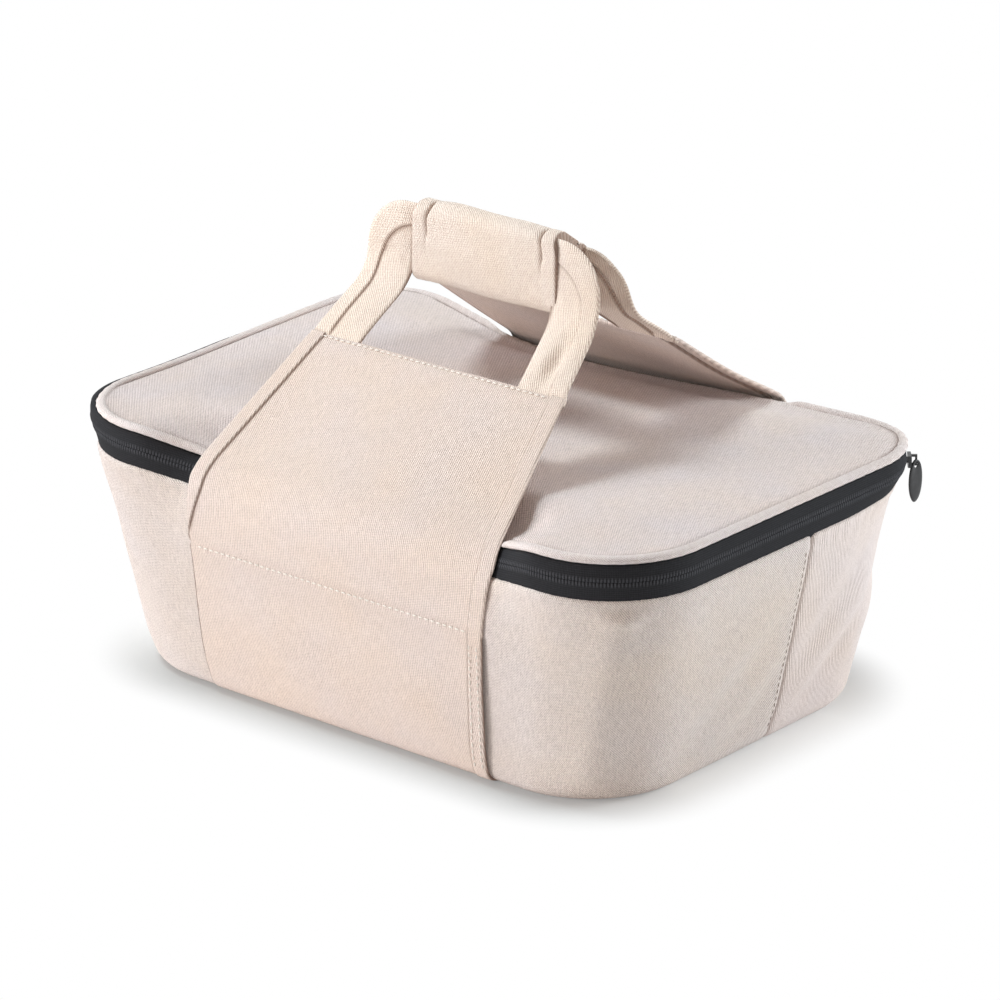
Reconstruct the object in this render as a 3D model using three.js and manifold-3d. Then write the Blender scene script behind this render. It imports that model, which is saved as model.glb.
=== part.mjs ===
// Insulated casserole carrier: a soft tapered box with a zipped lid, and two handle panels
// that rise from the long walls, lean over the lid and meet in one wrapped grip.
// Millimetres, +Z up, front towards -Y, origin in the middle of the base on the table.
import * as THREE from "three";
import { mergeVertices } from "three/addons/utils/BufferGeometryUtils.js";
import Module from "manifold-3d";

// Body outline
const BASE_LENGTH = 365;
const BASE_WIDTH = 254;
const MOUTH_LENGTH = 420;
const MOUTH_WIDTH = 288;
const CORNER_RADIUS = 60;
const WALL_HEIGHT = 129;
const FOOT_RADIUS = 6;
const FOOT_HEIGHT = 4.2;
const FOOT_TURN_INSET = 1.8;
const FOOT_TURN_HEIGHT = 1.2;
const END_SEAM_Y = 16;

// Layers, and the clearance left between two sewn layers
const CANVAS = 1.2;
const WALL_FOAM = 5;
const BASE_FOAM = 5;
const BOARD = 2.4;
const LINING = 0.8;
const GAP = 0.3;
const RIM_BINDING = 1.2;

// Zip band between the wall's top and the lid's edge
const ZIP_BAND = 21;
const TAPE = 1.2;
const TAPE_SET_BACK = 1;
const PARTING = 1.6;
const TEETH_DEPTH = 1.5;
const TEETH_HEIGHT = 2.6;
const HINGE_LENGTH = 291;

// Lid
const LID_FOAM = 5;
const LID_CROWN = 3;
const CROWN_SHOULDER = 2.1;
const CROWN_SHOULDER_WIDTH = 18;
const CROWN_WIDTH = 42;
const ROLL_WIDTH = 6;
const ROLL_HEIGHT = 4.6;

// Handle panels: heights on the panel and half widths there
const PANEL = 2.5;
const SEWN_PANEL = 1.5;
const STITCH_HEIGHT = 92;
const BEND_SET_IN = 8.5;
const BEND_LEG = 12;
const FRONT_BEND_HEIGHT = 130;
const BACK_BEND_HEIGHT = 144;
const FRONT_HEM_HEIGHT = 197;
const BACK_HEM_HEIGHT = 201.5;
const HEM_OUT = 51;
const TURN_OUT = 10;
const TURN_DROP = 11;
const FOOT_HALF = 104;
const STITCH_HALF = 108.5;
const BEND_HALF = 111.5;
const HEM_HALF = 93;
const STRAP_HALF = 84;
const STRAP_CORNER = 26;
const WINDOW_LOW_HALF = 58;
const WINDOW_SIDE_GAP = 0.8;

// The handle panels draw the long edges of walls and lid in, and the front edge down
const FRONT_DRAWN_IN = 28;
const FRONT_DRAWN_DOWN = 13;
const BACK_DRAWN_IN = 24;
const BACK_DRAWN_DOWN = 2;
const DRAWN_IN_POWER = 1.4;
const DRAWN_DOWN_POWER = 2;
const DRAWN_FADE = 32;

// Wrapped grip
const GRIP_LENGTH = 106;
const GRIP_BOTTOM = 222;
const GRIP_HEIGHT = 52;
const GRIP_THICKNESS = 26;
const GRIP_ROUND = 11;
const WRAP = 2.2;
const STRAP_OUT = 2;
const STRAP_TOP_INSET = 6;
const FASTENER_LENGTH = 80;
const FASTENER_HEIGHT = 18;
const FASTENER = 1.2;

// Slider on the back right corner, and its pull
const SLIDER_ANGLE = 40;
const SLIDER_LENGTH = 12;
const SLIDER_HEIGHT = 7;
const SLIDER_PLATE = 2;
const SLIDER_WEB = 1;
const SLIDER_CLEARANCE = 0.9;
const SLIDER_ROUND = 2.3;
const BAIL_HEIGHT = 6.4;
const BAIL_THICKNESS = 1.2;
const BAIL_WIDTH = 1.6;
const BAIL_ROOM = 2.2;
const PULL_LENGTH = 25;
const PULL_WIDTH = 11;
const PULL_ROUND = 5.4;
const PULL_THICKNESS = 1.2;
const PULL_BAR = 1.4;
const PULL_SLOT_WIDTH = 3.2;
const PULL_SLOT_HEIGHT = 3.4;

// Worked out from the sizes above
const LID_EDGE = WALL_HEIGHT + ZIP_BAND;
const ZIP_LINE = WALL_HEIGHT + ZIP_BAND / 2;
const ZIP_END_X = HINGE_LENGTH / 2 + GAP;
const SIDE_HALF = MOUTH_LENGTH / 2 - CORNER_RADIUS;
const DRAWN_END = BEND_HALF + DRAWN_FADE;
const DRAWN_MIDDLE = (STITCH_HEIGHT + WALL_HEIGHT) / 2;

const CORNER_STEPS = 9;
const FADE_STEPS = 5;
const ROLL_SIDES = 8;
const BEND_STEPS = 5;
const TURN_STEPS = 7;
const STRAP_STEPS = 4;
const GRIP_STEPS = 5;
const PLATE_STEPS = 4;
const SMALLEST_CORNER = 8;

const { clamp, degToRad, lerp, smoothstep } = THREE.MathUtils;
const wasm = await Module();
wasm.setup();

const canvas = { color: 0xd9c3b4, roughness: 0.95 };
const warmCanvas = { color: 0xe3c7b4, roughness: 0.95 };
const blackTape = { color: 0x1d1d20, roughness: 0.8 };
const blackMetal = { color: 0x18181a, roughness: 0.4, metalness: 0.6 };
const foam = { color: 0xe8e6e0, roughness: 1 };
const foilLining = { color: 0xb9bcc0, roughness: 0.45, metalness: 0.3 };
const fibreBoard = { color: 0x8a7a68, roughness: 0.9 };

function mesh(name, geometry, finish) {
  const made = new THREE.Mesh(geometry, new THREE.MeshStandardMaterial(finish));
  made.name = name;
  return made;
}

// Six times the signed volume of a triangle mesh: negative when its faces point inwards.
function signedVolume(position, index) {
  const point = (i) => new THREE.Vector3().fromArray(position, 3 * i);
  let sum = 0;
  for (let i = 0; i < index.length; i += 3) {
    sum += point(index[i]).dot(point(index[i + 1]).cross(point(index[i + 2])));
  }
  return sum;
}

// Joins a row of matching sections into one closed body. Each quad is split along its shorter
// diagonal, so that layers that lie on each other fold alike. A row that doesn't close on itself
// is capped at both ends with a fan from the middle of its first and last section.
function sweep(sections, closed = false) {
  const count = sections[0].length;
  const position = sections.flat().flatMap((p) => p.toArray());
  const index = [];
  const joins = closed ? sections.length : sections.length - 1;
  for (let i = 0; i < joins; i++) {
    const next = (i + 1) % sections.length;
    const [a, b] = [i * count, next * count];
    for (let j = 0; j < count; j++) {
      const k = (j + 1) % count;
      const one = sections[i][j].distanceTo(sections[next][k]);
      const other = sections[i][k].distanceTo(sections[next][j]);
      if (one <= other) index.push(a + j, b + j, b + k, a + j, b + k, a + k);
      else index.push(a + j, b + j, a + k, b + j, b + k, a + k);
    }
  }
  if (!closed) {
    for (const [section, start, flip] of [
      [sections[0], 0, false],
      [sections.at(-1), (sections.length - 1) * count, true],
    ]) {
      const middle = position.length / 3;
      const centre = section.reduce((sum, p) => sum.add(p), new THREE.Vector3()).divideScalar(count);
      position.push(...centre.toArray());
      for (let j = 0; j < count; j++) {
        const edge = [start + j, start + ((j + 1) % count)];
        index.push(middle, ...(flip ? edge.reverse() : edge));
      }
    }
  }
  if (signedVolume(position, index) < 0) index.reverse();
  return new THREE.BufferGeometry()
    .setAttribute("position", new THREE.Float32BufferAttribute(position, 3))
    .setIndex(index);
}

function solidOf(geometry) {
  const bare = geometry.clone();
  bare.deleteAttribute("normal");
  bare.deleteAttribute("uv");
  const merged = mergeVertices(bare);
  return new wasm.Manifold(
    new wasm.Mesh({
      numProp: 3,
      vertProperties: merged.attributes.position.array,
      triVerts: new Uint32Array(merged.index.array),
    }),
  );
}

function geometryOf(solid) {
  const { vertProperties, triVerts } = solid.getMesh();
  return new THREE.BufferGeometry()
    .setAttribute("position", new THREE.Float32BufferAttribute(vertProperties, 3))
    .setIndex([...triVerts]);
}

const cut = (geometry, tool) => geometryOf(solidOf(geometry).subtract(solidOf(tool)));
const join = (...parts) => geometryOf(parts.map(solidOf).reduce((sum, part) => sum.add(part)));

// Half length and half width of the outer face at height z: walls that flare up to the mouth,
// then an upright zip band.
function halfSizes(z) {
  const up = Math.min(z / WALL_HEIGHT, 1);
  return { x: lerp(BASE_LENGTH, MOUTH_LENGTH, up) / 2, y: lerp(BASE_WIDTH, MOUTH_WIDTH, up) / 2 };
}

// How far a long side is drawn in and down: none at the stitch row, all of it at the lid's edge,
// across the panel's width. Inside the lid's roll the fall fades out with the crown's rise.
function drawn(sideY, share, z, inset) {
  const rise = clamp((z - STITCH_HEIGHT) / (LID_EDGE - STITCH_HEIGHT), 0, 1);
  const across = 1 - smoothstep(Math.abs(share) * SIDE_HALF, BEND_HALF, DRAWN_END);
  const near = clamp(1 - (inset - ROLL_WIDTH) / CROWN_WIDTH, 0, 1);
  const [depth, fall] =
    sideY < 0 ? [FRONT_DRAWN_IN, FRONT_DRAWN_DOWN] : [BACK_DRAWN_IN, BACK_DRAWN_DOWN];
  return {
    inwards: depth * across * rise ** DRAWN_IN_POWER,
    down: fall * across * near * rise ** DRAWN_DOWN_POWER,
  };
}

// A station is a place on the outline: given a height and an inset it gives the point there.
const onCorner = (sideX, sideY, degrees) => (z, inset) => {
  const half = halfSizes(z);
  const radius = Math.max(CORNER_RADIUS - inset, SMALLEST_CORNER);
  const angle = degToRad(degrees);
  return new THREE.Vector3(
    sideX * (half.x - inset - radius) + radius * Math.cos(angle),
    sideY * (half.y - inset - radius) + radius * Math.sin(angle),
    z,
  );
};
// Along a long side the place is a share of the way from its middle to where the corner starts.
const onLongSide = (sideY, share) => (z, inset) => {
  const half = halfSizes(z);
  const { inwards, down } = drawn(sideY, share, z, inset);
  return new THREE.Vector3(
    share * (half.x - CORNER_RADIUS),
    sideY * (half.y - inset - inwards),
    z - down,
  );
};
const onEnd = (sideX, y) => (z, inset) => new THREE.Vector3(sideX * (halfSizes(z).x - inset), y, z);

const steps = (count, make) => Array.from({ length: count + 1 }, (_, i) => make(i / count));
const cornerRun = (sideX, sideY, start) =>
  steps(CORNER_STEPS, (t) => onCorner(sideX, sideY, start + 90 * t));
const fade = steps(FADE_STEPS, (t) => lerp(DRAWN_END, BEND_HALF, t) / SIDE_HALF);

// Runs of stations, anticlockwise seen from above
const backRight = cornerRun(1, 1, 0);
const backLeft = cornerRun(-1, 1, 90);
const frontLeft = cornerRun(-1, -1, 180);
const frontRight = cornerRun(1, -1, 270);
const shares = [...fade, ...fade.map((share) => -share).reverse()];
const backSide = shares.map((share) => onLongSide(1, share));
const frontSide = shares.map((share) => onLongSide(-1, -share));
const plainRing = [...backRight, ...backLeft, ...frontLeft, ...frontRight];
const drawnRing = [...backRight, ...backSide, ...backLeft, ...frontLeft, ...frontSide, ...frontRight];
const frontHalf = [
  onEnd(-1, END_SEAM_Y),
  ...frontLeft,
  ...frontSide,
  ...frontRight,
  onEnd(1, END_SEAM_Y),
];
const backHalf = [
  onEnd(1, END_SEAM_Y + GAP),
  ...backRight,
  ...backSide,
  ...backLeft,
  onEnd(-1, END_SEAM_Y + GAP),
];
const zipRun = [
  onLongSide(1, -ZIP_END_X / SIDE_HALF),
  ...backLeft,
  ...frontLeft,
  ...frontSide,
  ...frontRight,
  ...backRight,
  onLongSide(1, ZIP_END_X / SIDE_HALF),
];
const hingeEnd = HINGE_LENGTH / 2 / SIDE_HALF;
const hingeRun = [onLongSide(1, hingeEnd), ...backSide, onLongSide(1, -hingeEnd)];

// A section in insets and heights carried along a run of stations.
const carry = (run, section, closed) =>
  sweep(run.map((at) => section.map(([inset, z]) => at(z, inset))), closed);
// An upright section: its two faces have a point at each of the same heights, so that layers
// that share heights bend alike where an edge is drawn in.
const strip = (inset, depth, ...heights) => [
  ...heights.map((z) => [inset, z]),
  ...heights.toReversed().map((z) => [inset + depth, z]),
];
// A flat or crowned body from rings of inset and height, bottom ring first.
const stack = (run, rings) => sweep(rings.map(([inset, z]) => run.map((at) => at(z, inset))));
const slab = (run, inset, low, high) =>
  stack(run, [
    [inset, low],
    [inset, high],
  ]);

// Base and walls

const WALL_FOOT = FOOT_HEIGHT + GAP;
const FOAM_INSET = CANVAS + GAP;
const LINING_INSET = FOAM_INSET + WALL_FOAM + GAP;
const INNER_INSET = LINING_INSET + LINING + GAP;
const BOARD_LOW = CANVAS + GAP;
const BASE_FOAM_LOW = BOARD_LOW + BOARD + GAP;
const FLOOR_LOW = BASE_FOAM_LOW + BASE_FOAM + GAP;

// The base panel is a shallow canvas pan whose rounded foot turns up to the walls.
const basePanel = stack(plainRing, [
  [FOOT_RADIUS, 0],
  [FOOT_TURN_INSET, FOOT_TURN_HEIGHT],
  [0, FOOT_HEIGHT],
  [CANVAS, FOOT_HEIGHT],
  [CANVAS + FOOT_TURN_INSET, CANVAS + FOOT_TURN_HEIGHT],
  [CANVAS + FOOT_RADIUS, CANVAS],
]);
const boardInset = Math.max(INNER_INSET, CANVAS + FOOT_RADIUS + GAP);

const wallHeights = [WALL_FOOT, STITCH_HEIGHT, DRAWN_MIDDLE, WALL_HEIGHT];

function wallHalves() {
  const made = [];
  for (const [side, run] of [
    ["front", frontHalf],
    ["back", backHalf],
  ]) {
    const outer = strip(0, CANVAS, ...wallHeights);
    const padding = strip(FOAM_INSET, WALL_FOAM, ...wallHeights);
    made.push(mesh(side + "_wall", carry(run, outer), canvas));
    made.push(mesh(side + "_wall_foam", carry(run, padding), foam));
  }
  return made;
}

const BINDING_INSET = TAPE_SET_BACK + TAPE + 2 * GAP;
const bindingSection = strip(
  BINDING_INSET,
  INNER_INSET - BINDING_INSET,
  WALL_HEIGHT + GAP,
  WALL_HEIGHT + GAP + RIM_BINDING,
);

const body = new THREE.Group();
body.add(
  mesh("base_panel", basePanel, canvas),
  mesh("base_board", slab(plainRing, boardInset, BOARD_LOW, BOARD_LOW + BOARD), fibreBoard),
  mesh("base_foam", slab(plainRing, INNER_INSET, BASE_FOAM_LOW, BASE_FOAM_LOW + BASE_FOAM), foam),
  mesh("base_lining", slab(plainRing, INNER_INSET, FLOOR_LOW, FLOOR_LOW + LINING), foilLining),
  ...wallHalves(),
  mesh(
    "wall_lining",
    carry(drawnRing, strip(LINING_INSET, LINING, ...wallHeights), true),
    foilLining,
  ),
  mesh("rim_binding", carry(drawnRing, bindingSection, true), blackTape),
);

// Zip band: two tapes with a coil behind each, parted at the zip line, and a hinge strip
// across the back that folds on the same line.

const TEETH_INSET = TAPE_SET_BACK + TAPE + GAP;
const lowerEdge = ZIP_LINE - PARTING / 2;
const upperEdge = ZIP_LINE + PARTING / 2;
const lowerTeeth = [lowerEdge - TEETH_HEIGHT, lowerEdge];
const upperTeeth = [upperEdge, upperEdge + TEETH_HEIGHT];
const lowerBand = [WALL_HEIGHT + GAP, WALL_HEIGHT + GAP + RIM_BINDING, ...lowerTeeth];
const upperBand = [...upperTeeth, LID_EDGE - CANVAS];
const tapeSection = (heights) => strip(TAPE_SET_BACK, TAPE, ...heights);
const teethSection = (heights) => strip(TEETH_INSET, TEETH_DEPTH, ...heights);
body.add(
  mesh("lower_zip_tape", carry(zipRun, tapeSection(lowerBand)), blackTape),
  mesh("lower_zip_teeth", carry(zipRun, teethSection(lowerTeeth)), blackTape),
  mesh("hinge_strip_lower", carry(hingeRun, tapeSection(lowerBand)), blackTape),
);

// Lid: canvas top inside a rolled edge, padded and lined beneath

const ROLL_LOW = LID_EDGE - CANVAS + GAP;
const TOP_INSET = ROLL_WIDTH + GAP;
const TOP_LOW = LID_EDGE;
const LID_FOAM_LOW = TOP_LOW - GAP - LID_FOAM;
const LID_LINING_LOW = LID_FOAM_LOW - GAP - LINING;
const SLIDER_INNER_FACE = TEETH_INSET + TEETH_DEPTH + SLIDER_CLEARANCE + SLIDER_PLATE;
const PADDING_INSET = SLIDER_INNER_FACE + SLIDER_CLEARANCE + GAP;

// Crown of the lid: heights over its edge on the way in from the roll.
const crownRings = (inset, z) => [
  [inset, z],
  [inset + CROWN_SHOULDER_WIDTH, z + CROWN_SHOULDER],
  [inset + CROWN_WIDTH, z + LID_CROWN],
];
const crownedSlab = (inset, low, high) =>
  stack(drawnRing, [...crownRings(inset, low).reverse(), ...crownRings(inset, high)]);
const rollSection = Array.from({ length: ROLL_SIDES }, (_, i) => {
  const angle = (2 * Math.PI * i) / ROLL_SIDES;
  return [
    (ROLL_WIDTH / 2) * (1 - Math.cos(angle)),
    ROLL_LOW + (ROLL_HEIGHT / 2) * (1 + Math.sin(angle)),
  ];
});

const lid = new THREE.Group();
lid.add(
  mesh("lid_top", crownedSlab(TOP_INSET, TOP_LOW, TOP_LOW + CANVAS), canvas),
  mesh("lid_foam", crownedSlab(PADDING_INSET, LID_FOAM_LOW, TOP_LOW - GAP), foam),
  mesh(
    "lid_lining",
    crownedSlab(PADDING_INSET, LID_LINING_LOW, LID_LINING_LOW + LINING),
    foilLining,
  ),
  mesh("lid_edge_roll", carry(drawnRing, rollSection, true), canvas),
  mesh("upper_zip_tape", carry(zipRun, tapeSection(upperBand)), blackTape),
  mesh("upper_zip_teeth", carry(zipRun, teethSection(upperTeeth)), blackTape),
  mesh("hinge_strip_upper", carry(hingeRun, tapeSection(upperBand)), blackTape),
);

// Handle panels. The inner face follows a line in the plane across the carrier, written as
// distance out from the middle and height: up from the stitch row, over the lid's edge, along
// the lean to the hem, and through the arms into the upright strap of the grip.

const point = (out, z) => new THREE.Vector2(out, z);
const GRIP_TOP = GRIP_BOTTOM + GRIP_HEIGHT;
const STRAP_TOP = GRIP_TOP - STRAP_TOP_INSET;
const STRAP_LOW = STRAP_TOP - STRAP_CORNER;
const stitchPoint = point(halfSizes(STITCH_HEIGHT).y + GAP, STITCH_HEIGHT + GAP);
const strapPoint = point(STRAP_OUT, STRAP_LOW);
const turnPoint = point(TURN_OUT, STRAP_LOW - TURN_DROP);

// The rows of a panel that bends and is hemmed at these heights, each with its half width, and
// the rows of the window between its arms.
function panelRows(bendHeight, hemHeight) {
  const bendPoint = point(MOUTH_WIDTH / 2 - BEND_SET_IN, bendHeight);
  const hemPoint = point(HEM_OUT, hemHeight);
  const towards = (end) => end.clone().sub(bendPoint).setLength(BEND_LEG).add(bendPoint);
  const bend = new THREE.QuadraticBezierCurve(towards(stitchPoint), bendPoint, towards(hemPoint));
  const turn = new THREE.QuadraticBezierCurve(hemPoint, turnPoint, strapPoint);
  const known = [
    [STITCH_HEIGHT, STITCH_HALF],
    [bendHeight, BEND_HALF],
    [hemHeight, HEM_HALF],
    [STRAP_LOW, STRAP_HALF],
  ];
  const halfAt = (z) => {
    const after = Math.max(1, known.findIndex(([height]) => z <= height));
    const [[z0, half0], [z1, half1]] = known.slice(after - 1, after + 1);
    return lerp(half0, half1, clamp((z - z0) / (z1 - z0), 0, 1));
  };
  const windowLine = turn.getPoints(TURN_STEPS);
  const line = [stitchPoint, ...bend.getPoints(BEND_STEPS), ...windowLine];
  return {
    sheet: [...line.map((at) => ({ at, half: halfAt(at.y) })), ...cornerRows],
    opening: windowLine.map((at, i) => ({
      at,
      half: lerp(WINDOW_LOW_HALF, windowTopHalf, i / TURN_STEPS),
    })),
  };
}

// The strap's rounded top corners.
const cornerRows = steps(STRAP_STEPS, (t) => (t * Math.PI) / 2)
  .slice(1)
  .map((angle) => ({
    at: point(STRAP_OUT, STRAP_LOW + STRAP_CORNER * Math.sin(angle)),
    half: STRAP_HALF - STRAP_CORNER * (1 - Math.cos(angle)),
  }));
const windowTopHalf = GRIP_LENGTH / 2 + WINDOW_SIDE_GAP;

// A bent sheet on one side of the carrier, between two offsets outwards from its line.
function bentSheet(side, rows, from, to) {
  const sections = rows.map(({ at, half }, i) => {
    const before = rows[Math.max(i - 1, 0)].at;
    const after = rows[Math.min(i + 1, rows.length - 1)].at;
    const along = after.clone().sub(before).normalize();
    const outwards = point(along.y, -along.x);
    const [inner, outer] = [from, to].map((offset) => at.clone().addScaledVector(outwards, offset));
    return [
      new THREE.Vector3(-half, side * inner.x, inner.y),
      new THREE.Vector3(half, side * inner.x, inner.y),
      new THREE.Vector3(half, side * outer.x, outer.y),
      new THREE.Vector3(-half, side * outer.x, outer.y),
    ];
  });
  return sweep(sections);
}

// The part of a handle panel that is sewn down, from the foot to the stitch row.
function sewnPanel(side) {
  const rows = [
    { z: WALL_FOOT, half: FOOT_HALF },
    { z: STITCH_HEIGHT - GAP / 2, half: STITCH_HALF },
  ];
  const sections = rows.map(({ z, half }) => {
    const face = halfSizes(z).y + GAP;
    return [
      new THREE.Vector3(-half, side * face, z),
      new THREE.Vector3(half, side * face, z),
      new THREE.Vector3(half, side * (face + SEWN_PANEL), z),
      new THREE.Vector3(-half, side * (face + SEWN_PANEL), z),
    ];
  });
  return sweep(sections);
}

// Half of the grip's wrap in cross section, from the parting in the middle out to one side:
// an arch of cloth, or the padding that fills it.
function gripHalf(inner, outer, low, high, round) {
  const shape = new THREE.Shape();
  shape.moveTo(inner, low);
  shape.lineTo(outer - round, low);
  shape.absarc(outer - round, low + round, round, -Math.PI / 2, 0);
  shape.lineTo(outer, high - round);
  shape.absarc(outer - round, high - round, round, 0, Math.PI / 2);
  shape.lineTo(inner, high);
  shape.closePath();
  return new THREE.ExtrudeGeometry(shape, {
    depth: GRIP_LENGTH,
    bevelEnabled: false,
    curveSegments: GRIP_STEPS,
  });
}

// Turns a section drawn as distance out and height so that it runs along X on one side.
function alongGrip(geometry, side) {
  geometry.rotateX(Math.PI / 2).rotateZ(Math.PI / 2);
  geometry.translate(-GRIP_LENGTH / 2, 0, 0);
  return side > 0 ? geometry : geometry.rotateZ(Math.PI);
}

const CUT_MARGIN = 2 * PANEL;
const WRAP_PARTING = GAP;
const GRIP_OUT = GRIP_THICKNESS / 2;
const wrapInnerOut = GRIP_OUT - WRAP;
const wrapOuter = gripHalf(WRAP_PARTING, GRIP_OUT, GRIP_BOTTOM, GRIP_TOP, GRIP_ROUND);
const wrapInner = gripHalf(
  WRAP_PARTING - WRAP,
  wrapInnerOut,
  GRIP_BOTTOM + WRAP,
  GRIP_TOP - WRAP,
  GRIP_ROUND - WRAP,
);
const padOuter = gripHalf(
  WRAP_PARTING,
  wrapInnerOut - GAP,
  GRIP_BOTTOM + WRAP + GAP,
  GRIP_TOP - WRAP - GAP,
  GRIP_ROUND - WRAP - GAP,
);
const strapRoom = gripHalf(-GRIP_OUT, STRAP_OUT + PANEL + GAP, GRIP_BOTTOM, GRIP_TOP, GAP);
const pad = cut(padOuter, strapRoom);
const wrapShell = cut(wrapOuter, wrapInner);

function fastener(side) {
  const tape = new THREE.BoxGeometry(FASTENER_LENGTH, FASTENER, FASTENER_HEIGHT);
  const out = STRAP_OUT - GAP - FASTENER / 2;
  return tape.translate(0, side * out, STRAP_TOP - STRAP_CORNER / 2);
}

function handle(side, rows, names) {
  const sheet = bentSheet(side, rows.sheet, 0, PANEL);
  const window = bentSheet(side, rows.opening, -CUT_MARGIN, PANEL + CUT_MARGIN);
  const made = new THREE.Group();
  made.add(
    mesh(names.panel, cut(sheet, window), warmCanvas),
    mesh(names.wrap, alongGrip(wrapShell.clone(), side), warmCanvas),
    mesh(names.pad, alongGrip(pad.clone(), side), foam),
    mesh(names.fastener, fastener(side), blackTape),
  );
  return made;
}

body.add(mesh("front_panel_base", sewnPanel(-1), warmCanvas));
body.add(mesh("back_panel_base", sewnPanel(1), warmCanvas));
const frontHandle = handle(-1, panelRows(FRONT_BEND_HEIGHT, FRONT_HEM_HEIGHT), {
  panel: "front_handle_panel",
  wrap: "grip_wrap",
  pad: "grip_foam",
  fastener: "hook_tape",
});
const backHandle = handle(1, panelRows(BACK_BEND_HEIGHT, BACK_HEM_HEIGHT), {
  panel: "back_handle_panel",
  wrap: "back_grip_wrap",
  pad: "back_grip_foam",
  fastener: "loop_tape",
});

// Slider and pull, drawn with X pointing out of the corner's arc and Z along the height.

function plate(width, height, round, depth) {
  const shape = new THREE.Shape();
  const [x, y] = [width / 2 - round, height / 2 - round];
  shape.absarc(x, y, round, 0, Math.PI / 2);
  shape.absarc(-x, y, round, Math.PI / 2, Math.PI);
  shape.absarc(-x, -y, round, Math.PI, 1.5 * Math.PI);
  shape.absarc(x, -y, round, 1.5 * Math.PI, 2 * Math.PI);
  const made = new THREE.ExtrudeGeometry(shape, {
    depth,
    bevelEnabled: false,
    curveSegments: PLATE_STEPS,
  });
  return made.rotateX(Math.PI / 2).rotateZ(Math.PI / 2);
}

const outerPlateLow = CORNER_RADIUS - TAPE_SET_BACK + SLIDER_CLEARANCE;
const outerPlateHigh = outerPlateLow + SLIDER_PLATE;
const innerPlateLow = CORNER_RADIUS - SLIDER_INNER_FACE;
const innerPlate = plate(SLIDER_LENGTH, SLIDER_HEIGHT, SLIDER_ROUND, SLIDER_PLATE);
const outerPlate = innerPlate.clone().translate(outerPlateLow, 0, 0);
innerPlate.translate(innerPlateLow, 0, 0);
const webDepth = outerPlateLow - innerPlateLow;
const web = new THREE.BoxGeometry(webDepth, SLIDER_LENGTH - 2 * SLIDER_ROUND, SLIDER_WEB);
web.translate(innerPlateLow + SLIDER_PLATE / 2 + webDepth / 2, 0, 0);
const bailDepth = BAIL_ROOM + BAIL_THICKNESS;
const bailBlock = new THREE.BoxGeometry(bailDepth + SLIDER_PLATE / 2, BAIL_WIDTH, BAIL_HEIGHT);
bailBlock.translate(outerPlateHigh + bailDepth / 2 - SLIDER_PLATE / 4, 0, 0);
const bailRoom = new THREE.BoxGeometry(BAIL_ROOM, 2 * BAIL_WIDTH, BAIL_HEIGHT - 2 * BAIL_THICKNESS);
bailRoom.translate(outerPlateHigh + BAIL_ROOM / 2, 0, 0);
const slider = join(outerPlate, innerPlate, web, cut(bailBlock, bailRoom));

// The pull is an oval tab whose bar sits inside the slider's bail, hanging straight down.
const pullSlot = new THREE.BoxGeometry(4 * PULL_THICKNESS, PULL_SLOT_WIDTH, PULL_SLOT_HEIGHT);
pullSlot.translate(0, 0, -PULL_BAR / 2 - PULL_SLOT_HEIGHT / 2);
const pullTab = plate(PULL_WIDTH, PULL_LENGTH, PULL_ROUND, PULL_THICKNESS);
pullTab.translate(-PULL_THICKNESS / 2, 0, PULL_BAR / 2 - PULL_LENGTH / 2);
const pull = cut(pullTab, pullSlot).translate(outerPlateHigh + BAIL_ROOM / 2, 0, 0);

const zipper = new THREE.Group();
const mouth = halfSizes(ZIP_LINE);
zipper.position.set(mouth.x - CORNER_RADIUS, mouth.y - CORNER_RADIUS, ZIP_LINE);
zipper.rotation.z = degToRad(SLIDER_ANGLE);
zipper.add(mesh("zip_slider", slider, blackMetal), mesh("zip_pull", pull, blackMetal));

const carrier = new THREE.Group();
carrier.add(body, lid, frontHandle, backHandle, zipper);
export default carrier;
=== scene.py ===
import bpy
import numpy as np
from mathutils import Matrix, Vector


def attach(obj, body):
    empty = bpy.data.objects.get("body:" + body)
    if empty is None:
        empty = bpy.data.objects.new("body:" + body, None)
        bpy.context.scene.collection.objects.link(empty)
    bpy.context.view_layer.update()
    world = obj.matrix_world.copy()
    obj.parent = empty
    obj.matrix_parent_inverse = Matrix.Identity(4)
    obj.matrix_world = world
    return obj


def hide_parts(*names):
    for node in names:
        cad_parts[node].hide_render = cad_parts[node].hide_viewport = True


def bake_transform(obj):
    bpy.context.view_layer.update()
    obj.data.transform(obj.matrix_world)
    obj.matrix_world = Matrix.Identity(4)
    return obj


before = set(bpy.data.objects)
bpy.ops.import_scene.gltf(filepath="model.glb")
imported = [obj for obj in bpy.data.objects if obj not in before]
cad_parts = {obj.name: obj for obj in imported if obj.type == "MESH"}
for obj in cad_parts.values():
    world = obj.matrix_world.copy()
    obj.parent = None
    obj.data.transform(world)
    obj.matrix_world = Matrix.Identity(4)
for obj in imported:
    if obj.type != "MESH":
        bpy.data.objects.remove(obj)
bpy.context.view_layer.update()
scene = bpy.context.scene


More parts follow.
